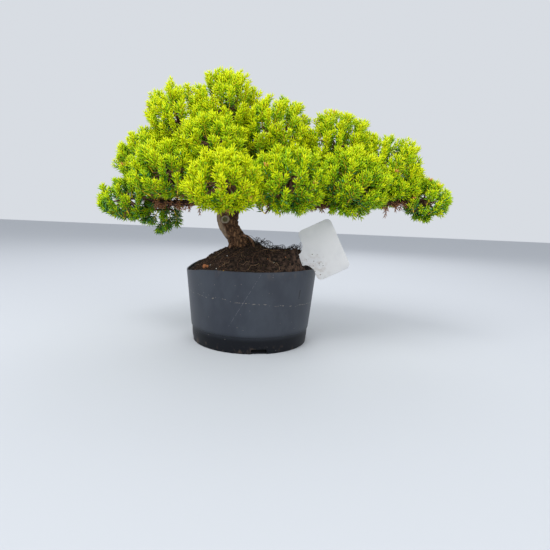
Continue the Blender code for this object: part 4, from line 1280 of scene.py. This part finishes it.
def make_scar():
    """Collar and cut face of a pruned bough: a turned ring laid forward, its middle sunken."""
    profile = [(0.0, -0.0008), (0.0016, -0.0008), (SCAR_FACE_RADIUS - 0.0003, -0.0006),
               (SCAR_FACE_RADIUS, -0.0001), (0.0034, 0.0001), (0.0040, -0.0002),
               (SCAR_RADIUS, -0.0009), (SCAR_RADIUS + 0.0003, -0.0024),
               (SCAR_RADIUS, -SCAR_LENGTH), (0.0, -SCAR_LENGTH)]

    def laid(place):
        angle = math.atan2(place.y, place.x)
        uneven = 1.0 + 0.07 * math.sin(2.0 * angle + 0.7) + 0.03 * math.sin(5.0 * angle)
        ragged = 0.00018 * noise.noise(place * 900.0)
        return Vector((SCAR_PLACE.x + place.x * uneven, SCAR_PLACE.y - place.z + ragged,
                       SCAR_PLACE.z + place.y * uneven))

    work = moved(turned(profile, SCAR_SIDES), laid)
    bmesh.ops.recalc_face_normals(work, faces=work.faces)
    as_piece("pruned_bough_scar", work, wood_face_finish(), (), 60.0)


def make_surface_roots(limbs):
    finish = bark_finish("root_bark")
    for name, (bends, thickness) in SURFACE_ROOTS.items():
        buried = (bends[-1][0], bends[-1][1], SOIL_TOP - ROOT_BURIED)
        points = [Vector(row) for row in eased([*bends, buried], 6)]
        axis = min(limbs["trunk"].points, key=lambda place: abs(place.z - points[0].z))
        inward = Vector((axis.x - points[0].x, axis.y - points[0].y, 0.0)).normalized()
        points.insert(0, points[0] + inward * HIDDEN_START)
        radii = [0.5 * thickness * (1.0 + 0.25 * math.exp(-0.4 * i)) for i in range(len(points))]
        work = barked(curve_tube(points, radii, 6), "root_bark")
        as_piece(name + "_bark", work, finish, [name], 70.0)


def make_boughs(limbs):
    """All boughs in one piece, each with a collar where it leaves its parent."""
    whole = bmesh.new()
    for name in BOUGHS:
        limb = limbs[name]
        start, end = limb.points[0], limb.points[-1]
        rows = eased([(*point, radius) for point, radius in zip(limb.points, limb.radii)],
                     BOUGH_DETAIL)
        back = (start - limb.points[1]).normalized()
        points = [start + back * HIDDEN_START] + [Vector(row[:3]) for row in rows]
        points.append(end + (end - limb.points[-2]).normalized() * 0.0006)
        slim = BARK_SLIMMER.get(name, 1.0)
        radii = [limb.radii[0] * 1.12] + [slim * row[3] for row in rows] + [0.9 * limb.radii[-1]]
        for i in range(1, 8):
            radii[i] *= 1.0 + 0.12 * math.exp(-0.7 * i)
        part = mesh_of(barked(curve_tube(points, radii, 5), "bough_bark"), name)
        whole.from_mesh(part)
        bpy.data.meshes.remove(part)
    as_piece("boughs_bark", whole, bark_finish("bough_bark"), list(BOUGHS), 70.0)


# ---------------------------------------------------------------- growth
class Growth:
    """What a crown is made of: twigs, shoot stalks and, for every needle, root and direction."""

    def __init__(self):
        self.twigs = Heap()
        self.stalks = Heap()
        self.needles = {colour: [] for colour in NEEDLE_COLOURS}

    def whorls(self, path, rng, tone, first, length=NEEDLE_LENGTH, only_colour=None):
        """Whorls of three needles along a bowed shoot, closing to a blunt tip."""
        start, bend, end = path
        run = np.linalg.norm(end - start)
        count = max(3, int(run * (1.0 - first) / WHORL_SPACING))
        level = first + (1.0 - first) * (np.arange(count) + 0.6) / count
        shares = np.repeat(level, 3)
        places, tangents = bow(start, bend, end, shares)
        side, other = across(tangents)
        whorl = np.repeat(np.arange(count), 3)
        needle = np.tile(np.arange(3), count)
        angle = rng.uniform(0.0, TURN) + whorl * WHORL_TURN + needle * THIRD_TURN
        angle = angle + rng.uniform(-TURN_JITTER, TURN_JITTER, len(angle))
        out = np.cos(angle)[:, None] * side + np.sin(angle)[:, None] * other
        lean = LEAN_BASE + (LEAN_TIP - LEAN_BASE) * shares ** 1.5
        lean = lean + rng.uniform(-LEAN_JITTER, LEAN_JITTER, len(shares))
        toward = tangents * np.cos(lean)[:, None] + out * np.sin(lean)[:, None]
        toward[:, 2] += NEEDLE_LIFT
        toward = units(toward)
        size = length * rng.uniform(0.84, 1.12, len(shares))
        size *= 1.0 - 0.42 * np.clip((shares - 0.72) / 0.28, 0.0, 1.0) ** 1.5
        roots = places + out * 0.6 * STALK_RADIUS
        for index in range(count):
            colour = only_colour or whorl_colour(tone, level[index], rng)
            three = slice(3 * index, 3 * index + 3)
            self.needles[colour].append((roots[three], toward[three], size[three]))

    def stalk(self, path, thick):
        places, _ = bow(*path, np.linspace(0.0, 0.97, STALK_POINTS))
        add_tube(self.stalks, places, thick * np.linspace(1.0, 0.55, STALK_POINTS), STALK_SIDES)

    def twig(self, path, first, last, detail=5):
        places, _ = bow(*path, np.linspace(0.0, 1.0, detail))
        add_tube(self.twigs, places, np.linspace(first, last, detail), detail)

    def shoot(self, path, thick, tone, bare, rng):
        """A stalk with needles from the end of its bare share on."""
        self.stalk(path, thick)
        self.whorls(path, rng, tone, bare)


def whorl_colour(tone, share, rng):
    """The colour group of a whorl: brighter towards the shoot's tip."""
    value = tone + TIP_GAIN * (share - 0.70) + rng.normal(0.0, 0.050)
    for level, colour in TONE_STEPS:
        if value > level:
            return colour
    return "blue_green" if rng.random() < BLUE_SHARE else "deep_green"


def spiral_directions(count, pole, rng):
    """Directions spread evenly by the golden angle, starting at the pole."""
    side = pole.orthogonal().normalized()
    other = pole.cross(side)
    turn = rng.uniform(0.0, 2.0 * math.pi)
    directions = [np.array(pole)]
    for k in range(1, count):
        level = 1.0 - 1.70 * k / count
        radius = math.sqrt(max(0.0, 1.0 - level * level))
        angle = turn + k * math.pi * (3.0 - math.sqrt(5.0))
        toward = pole * level + (side * math.cos(angle) + other * math.sin(angle)) * radius
        directions.append(unit(np.array(toward) + rng.uniform(-0.12, 0.12, 3)))
    return directions


def within_reach(name, tip):
    """Share of the mass's reach at which a place lies."""
    run = tip - CENTRES[name]
    distance = np.linalg.norm(run)
    return distance / mass_reach(name, run / distance)


def clear_of(limbs, places):
    return all(limb.clearances(places).min() > SHOOT_MARGIN for limb in limbs)


def fits(name, path, limbs):
    places, _ = bow(*path, np.array([0.35, 0.6, 0.8, 1.0]))
    return space_left(name, places).min() >= -WALL_OVERLAP and clear_of(limbs, places)


def shoot_tone_and_light(name, tip, rng):
    """Outer and higher growth is brighter, growth under and inside the crown is duller: partly the
    young and old growth's own colours, partly painted light from above and painted shade under and
    inside the crown.
    """
    outer = (within_reach(name, tip) - 0.55) / 0.45
    high = (tip[2] - 0.140) / 0.075
    # Painted light and shade over the growth's own tone: brighter outward and higher, duller inward
    # and lower.
    base = 0.13 + 0.38 * min(1.0, max(0.0, outer)) + 0.30 * min(1.0, max(-0.35, high))
    return base + MASS_TONES_AND_LIGHT.get(name, 0.0) + rng.normal(0.0, TONE_SPREAD)


def side_shoot(name, leader, share, turn, length, rng):
    """Path of a side shoot that leaves the leader at a slant and curves up, within reach."""
    places, tangents = bow(*leader, [share])
    side, other = across(tangents)
    out = math.cos(turn) * side[0] + math.sin(turn) * other[0]
    slant = math.radians(rng.uniform(*SIDE_SLANT))
    first = math.cos(slant) * tangents[0] + math.sin(slant) * out
    later = unit(first + upward(SIDE_SINK if name in DROOP else SIDE_RISE))
    for _ in range(6):
        bend = places[0] + first * 0.5 * length
        end = bend + later * 0.5 * length
        if within_reach(name, end) <= 1.03:
            return places[0], bend, end
        length *= 0.85
    return None


def growth_heading(name, toward):
    """Direction in which a leading shoot grows: out of the mass, away from the trunk, and up."""
    rise = LEADER_RISE if toward[2] > UNDERSIDE else UNDERSIDE_RISE
    away = np.array([CENTRES[name][0] - TRUNK_SECTIONS[-1][1], CENTRES[name][1], 0.0])
    away /= max(0.030, np.linalg.norm(away))
    return unit(0.70 * toward + 0.30 * away + upward(DROOP.get(name, rise)))


def leading_shoot(name, toward, size, limbs):
    """The longest leading shoot that fits; None where there is too little room."""
    reach = mass_reach(name, toward)
    heading = growth_heading(name, toward)
    while size > SHORTEST_REACH:
        end = CENTRES[name] + toward * (reach * size - BUD_LENGTH)
        root = end - heading * LEADER_LENGTH * reach * size
        bend = 0.5 * (root + end) + 0.10 * reach * toward - upward(0.06 * reach)
        if fits(name, (root, bend, end), limbs):
            return root, bend, end
        size *= 0.95
    return None


def grow_branchlet(growth, name, toward, size, limbs, rng):
    """A twig from the mass's stem that carries a leading shoot and its side shoots."""
    leader = leading_shoot(name, toward, size, limbs)
    if leader is None:
        return
    root, _, end = leader
    growth.twig((CENTRES[name], 0.5 * (CENTRES[name] + root), root), *TWIG_RADII)
    tone = shoot_tone_and_light(name, end, rng)
    growth.shoot(leader, LEADER_THICKNESS, tone, LEADER_BARE, rng)
    if rng.random() < SALMON_SHARE:
        tips = (bow(*leader, [0.90])[0][0], bow(*leader, [0.97])[0][0], end + toward * 0.0005)
        growth.whorls(tips, rng, tone, 0.0, SHORT_NEEDLE, "salmon")
    run = np.linalg.norm(end - root)
    turn = rng.uniform(0.0, TURN)
    for k in range(SIDE_SHOOTS):
        share = SIDE_START + SIDE_SPACING * k + rng.uniform(-0.04, 0.04)
        turn += math.pi + rng.uniform(-0.45, 0.45)
        wanted = run * (SIDE_LENGTH - SIDE_SHORTENING * k) * rng.uniform(0.85, 1.15)
        path = side_shoot(name, leader, share, turn, wanted, rng)
        if path is not None and fits(name, path, limbs):
            growth.shoot(path, STALK_RADIUS, shoot_tone_and_light(name, path[2], rng), SIDE_BARE, rng)


def grow_mass(growth, name, seed, limbs):
    rng = np.random.default_rng(seed)
    carrier = next((bough for bough, row in BOUGHS.items() if row[2] == name), "trunk")
    limb = limbs[carrier]
    lead = np.array((limb.points[-1] - limb.points[-2]).normalized())
    start = np.array(limb.points[-1])
    centre = CENTRES[name]
    stem = (start, start + lead * STEM_LEAD, centre)
    growth.twig(stem, STEM_WIDTH * limb.radii[-1], STEM_TIP, 7)
    pole = (Vector(centre) - limbs["trunk"].at(HEART_SHARE)[0]).normalized()
    near = [other for other in limbs.values() if other.clearance(centre) < max(MASSES[name][1])]
    count = int(BRANCHLETS * (mass_weight(name) / USUAL_SIZE) ** 2)
    for index, toward in enumerate(spiral_directions(count, pole, rng)):
        size = FULLNESS.get(name, 1.0) * (1.0 if index == 0 else rng.uniform(0.90, 1.02))
        grow_branchlet(growth, name, toward, size, near, rng)


def bough_shoot(place, out, size, others):
    """The longest leader that fits on a bough in a direction, and the mass it belongs to."""
    while size > BOUGH_SHOOT_SHORTEST:
        end = place + out * size
        mass = min(MASSES, key=lambda key: within_reach(key, end))
        bend = 0.5 * (place + end) - upward(0.08 * size)
        places, _ = bow(place, bend, end, [0.5, 0.75, 1.0])
        if clear_of(others, places) and within_reach(mass, end) <= 1.0:
            return mass, (place, bend, end)
        size *= 0.85
    return None, None


def grow_along_boughs(growth, limbs, seed):
    """Leafy shoots that stand on the boughs and fill the hollows between the masses."""
    rng = np.random.default_rng(seed)
    for name, limb in limbs.items():
        others = [other for key, other in limbs.items() if key != name]
        first = CROWN_FROM if name == "trunk" else 0.22
        length = (limb.points[-1] - limb.points[0]).length * (1.0 - first)
        for _ in range(int(BOUGH_SHOOTS * length)):
            place, radius = limb.at(rng.uniform(first, 1.0))
            out = rng.normal(0.0, 1.0, 3) * (0.8, 1.0, 0.9)
            out[2] = abs(out[2]) + 0.15
            out = unit(out)
            start = np.array(place) + out * 0.6 * radius
            mass, leader = bough_shoot(start, out, rng.uniform(*BOUGH_SHOOT_SIZES), others)
            if leader is not None:
                grow_bough_shoot(growth, mass, leader, others, rng)


def grow_bough_shoot(growth, name, leader, others, rng):
    tone = shoot_tone_and_light(name, leader[2], rng)
    growth.shoot(leader, LEADER_THICKNESS, tone, BOUGH_LEADER_BARE, rng)
    length = 0.55 * np.linalg.norm(leader[2] - leader[0])
    turn = rng.uniform(0.0, TURN)
    for share in (0.40, 0.58, 0.75):
        turn += GOLDEN_TURN
        path = side_shoot(name, leader, share, turn, length, rng)
        if path is not None and clear_of(others, bow(*path, [0.5, 1.0])[0]):
            growth.shoot(path, STALK_RADIUS, shoot_tone_and_light(name, path[2], rng), SIDE_BARE, rng)


def grow_dead_tufts(growth, limbs, seed):
    """Short dry shoots under and beside the boughs, and a few withered ones inside."""
    rng = np.random.default_rng(seed)
    droop = upward(-0.0015)
    for name, first, count, longest in DEAD_TUFTS:
        for _ in range(count):
            place, radius = limbs[name].at(rng.uniform(first, 1.0))
            out = rng.normal(0.0, 1.0, 3)
            out[2] = abs(out[2]) * (0.8 if rng.random() < 0.30 else -0.6)
            out[0] *= 0.6
            out = unit(out)
            start = np.array(place) + out * 0.6 * radius
            end = start + out * rng.uniform(0.004, longest)
            path = (start, 0.5 * (start + end) - droop, end + droop)
            growth.twig(path, *DEAD_TWIG_RADII, 4)
            growth.whorls(path, rng, 0.0, 0.2, SHORT_NEEDLE, "dead_brown")


def needle_heap(rows):
    """Needles as triangles: a root, three corners at the widest place, and a tip."""
    roots, toward, size = (np.concatenate(column) for column in zip(*rows))
    size = size[:, None]
    reference = np.where(np.abs(toward[:, 2:3]) < 0.9, [[0.0, 0.0, 1.0]], [[1.0, 0.0, 0.0]])
    side = units(np.cross(toward, reference))
    other = np.cross(toward, side)
    middle = roots + toward * size * NEEDLE_WIDEST
    wide = NEEDLE_HALF_WIDTH * size / NEEDLE_LENGTH
    corners = [middle + wide * (math.cos(a) * side + math.sin(a) * other) for a in NEEDLE_CORNERS]
    points = np.stack([roots] + corners + [roots + toward * size], axis=1).reshape(-1, 3)
    pattern = np.array([(0, 2, 1), (0, 3, 2), (0, 1, 3), (1, 2, 4), (2, 3, 4), (3, 1, 4)])
    faces = (pattern[None] + 5 * np.arange(len(roots))[:, None, None]).reshape(-1, 3)
    heap = Heap()
    heap.add(points, faces)
    return heap


def make_crown(limbs):
    growth = Growth()
    for seed, name in enumerate(MASSES, start=1):
        grow_mass(growth, name, seed, limbs)
    grow_along_boughs(growth, limbs, BOUGH_SEED)
    grow_dead_tufts(growth, limbs, DEAD_SEED)
    masses = list(MASSES)
    as_piece("twigs", growth.twigs, plain_finish("twig_bark"), masses, 60.0)
    as_piece("shoot_stalks", growth.stalks, plain_finish("shoot_stalk"), masses, 60.0)
    for colour, rows in growth.needles.items():
        if rows:
            finish = needle_finish(colour)
            for index, first in enumerate(range(0, len(rows), PIECE_WHORLS), start=1):
                needles = needle_heap(rows[first:first + PIECE_WHORLS])
                as_piece(f"needles_{colour}_{index}", needles, finish, masses)


# ---------------------------------------------------------------- label
def quarter_arc(centre_x, centre_y, start_degrees, steps=9):
    """A rounded corner of the label, clockwise."""
    points = []
    for k in range(steps + 1):
        angle = math.radians(start_degrees - 90.0 * k / steps)
        points.append((centre_x + LABEL_CORNER * math.cos(angle),
                       centre_y + LABEL_CORNER * math.sin(angle)))
    return points


def label_outline():
    """Head to the right of x = 0, neck and stake to the left."""
    left, right = LABEL_CORNER, LABEL_WIDTH - LABEL_CORNER
    upper, lower = 0.5 * LABEL_LENGTH - LABEL_CORNER, LABEL_CORNER - 0.5 * LABEL_LENGTH
    corners = ((left, upper, 180), (right, upper, 90), (right, lower, 0), (left, lower, -90))
    points = []
    for x, y, start in corners:
        points += quarter_arc(x, y, start)
    half = [(0.0, -LABEL_SHOULDER)]
    for k in range(1, LABEL_NECK_STEPS + 1):
        t = k / LABEL_NECK_STEPS
        narrowing = (LABEL_NECK_HALF - LABEL_SHOULDER) * math.sin(0.5 * math.pi * t)
        half.append((-LABEL_NECK_LENGTH * t, -(LABEL_SHOULDER + narrowing)))
    half += [(-LABEL_NECK_LENGTH - LABEL_STAKE_START, -LABEL_STAKE_HALF),
             (-LABEL_STAKE_LENGTH + LABEL_POINT_LENGTH, -0.80 * LABEL_STAKE_HALF),
             (-LABEL_STAKE_LENGTH, -0.15 * LABEL_STAKE_HALF)]
    return points + half + [(x, -y) for x, y in reversed(half)]


def make_label():
    """The outline as one face, extruded to the tag's thickness with softened edges."""
    work = bmesh.new()
    half = 0.5 * LABEL_THICKNESS
    face = work.faces.new([work.verts.new((x, y, -half)) for x, y in label_outline()])
    made = bmesh.ops.extrude_face_region(work, geom=[face])
    top = [item for item in made["geom"] if isinstance(item, bmesh.types.BMVert)]
    bmesh.ops.translate(work, verts=top, vec=(0.0, 0.0, LABEL_THICKNESS))
    bmesh.ops.recalc_face_normals(work, faces=work.faces)
    rims = [edge for edge in work.edges
            if len(edge.link_faces) == 2 and edge.calc_face_angle() > math.radians(60.0)
            and abs(edge.verts[0].co.z - edge.verts[1].co.z) < half]
    bevelled(work, rims, LABEL_BEVEL, 2)
    turn = Matrix.Rotation(-LABEL_TILT, 3, "Y") @ Matrix.Rotation(math.radians(90.0), 3, "X")
    bmesh.ops.rotate(work, cent=MIDDLE, matrix=turn, verts=work.verts)
    bmesh.ops.translate(work, verts=work.verts, vec=LABEL_NECK)
    as_piece("blank_plant_label", work, label_finish(), ["plant_label"], 30.0)


# ---------------------------------------------------------------- stage
def make_stage():
    work = bmesh.new()
    bmesh.ops.create_grid(work, x_segments=2, y_segments=2, size=FLOOR_HALF)
    floor = placed("floor", mesh_of(work, "floor"))
    floor.data.materials.append(plain_finish("floor_paint"))

    world = bpy.data.worlds.new("studio")
    world.use_nodes = True
    sky = world.node_tree.nodes["Background"].inputs
    sky["Color"].default_value = SKY_COLOUR
    sky["Strength"].default_value = SKY_STRENGTH
    bpy.context.scene.world = world
    bpy.context.scene.view_settings.view_transform = "Standard"

    for name, place, size, power in LAMPS:
        light = bpy.data.lights.new(name, "AREA")
        light.size = size
        light.energy = power
        lamp = placed(name, light)
        lamp.location = place
        lamp.rotation_euler = (LAMP_AIM - Vector(place)).to_track_quat("-Z", "Y").to_euler()


def make_camera():
    lens = bpy.data.cameras.new("camera")
    lens.sensor_width = CAMERA_SENSOR
    lens.sensor_fit = "HORIZONTAL"
    lens.lens = CAMERA_LENS
    lens.clip_start = 0.01
    camera = placed("camera", lens)
    forward = Vector((0.0, math.cos(CAMERA_PITCH), -math.sin(CAMERA_PITCH)))
    level_up = Vector((0.0, math.sin(CAMERA_PITCH), math.cos(CAMERA_PITCH)))
    right = Vector((1.0, 0.0, 0.0)) * math.cos(CAMERA_ROLL) + level_up * math.sin(CAMERA_ROLL)
    turn = Matrix((right, right.cross(forward), -forward)).transposed()
    camera.matrix_world = Matrix.Translation(CAMERA_PLACE) @ turn.to_4x4()
    bpy.context.scene.camera = camera


# ---------------------------------------------------------------- assembly
def main():
    make_stage()
    make_camera()
    make_pot()
    make_soil()
    rng = random.Random(SOIL_SEED)
    make_crumbs(rng)
    make_fibres(rng)
    make_label()
    limbs = {"trunk": trunk_limb(2)}
    for name in BOUGHS:
        limbs[name] = bough_limb(name, limbs)
    make_trunk()
    make_scar()
    make_surface_roots(limbs)
    make_boughs(limbs)
    make_crown(limbs)


main()
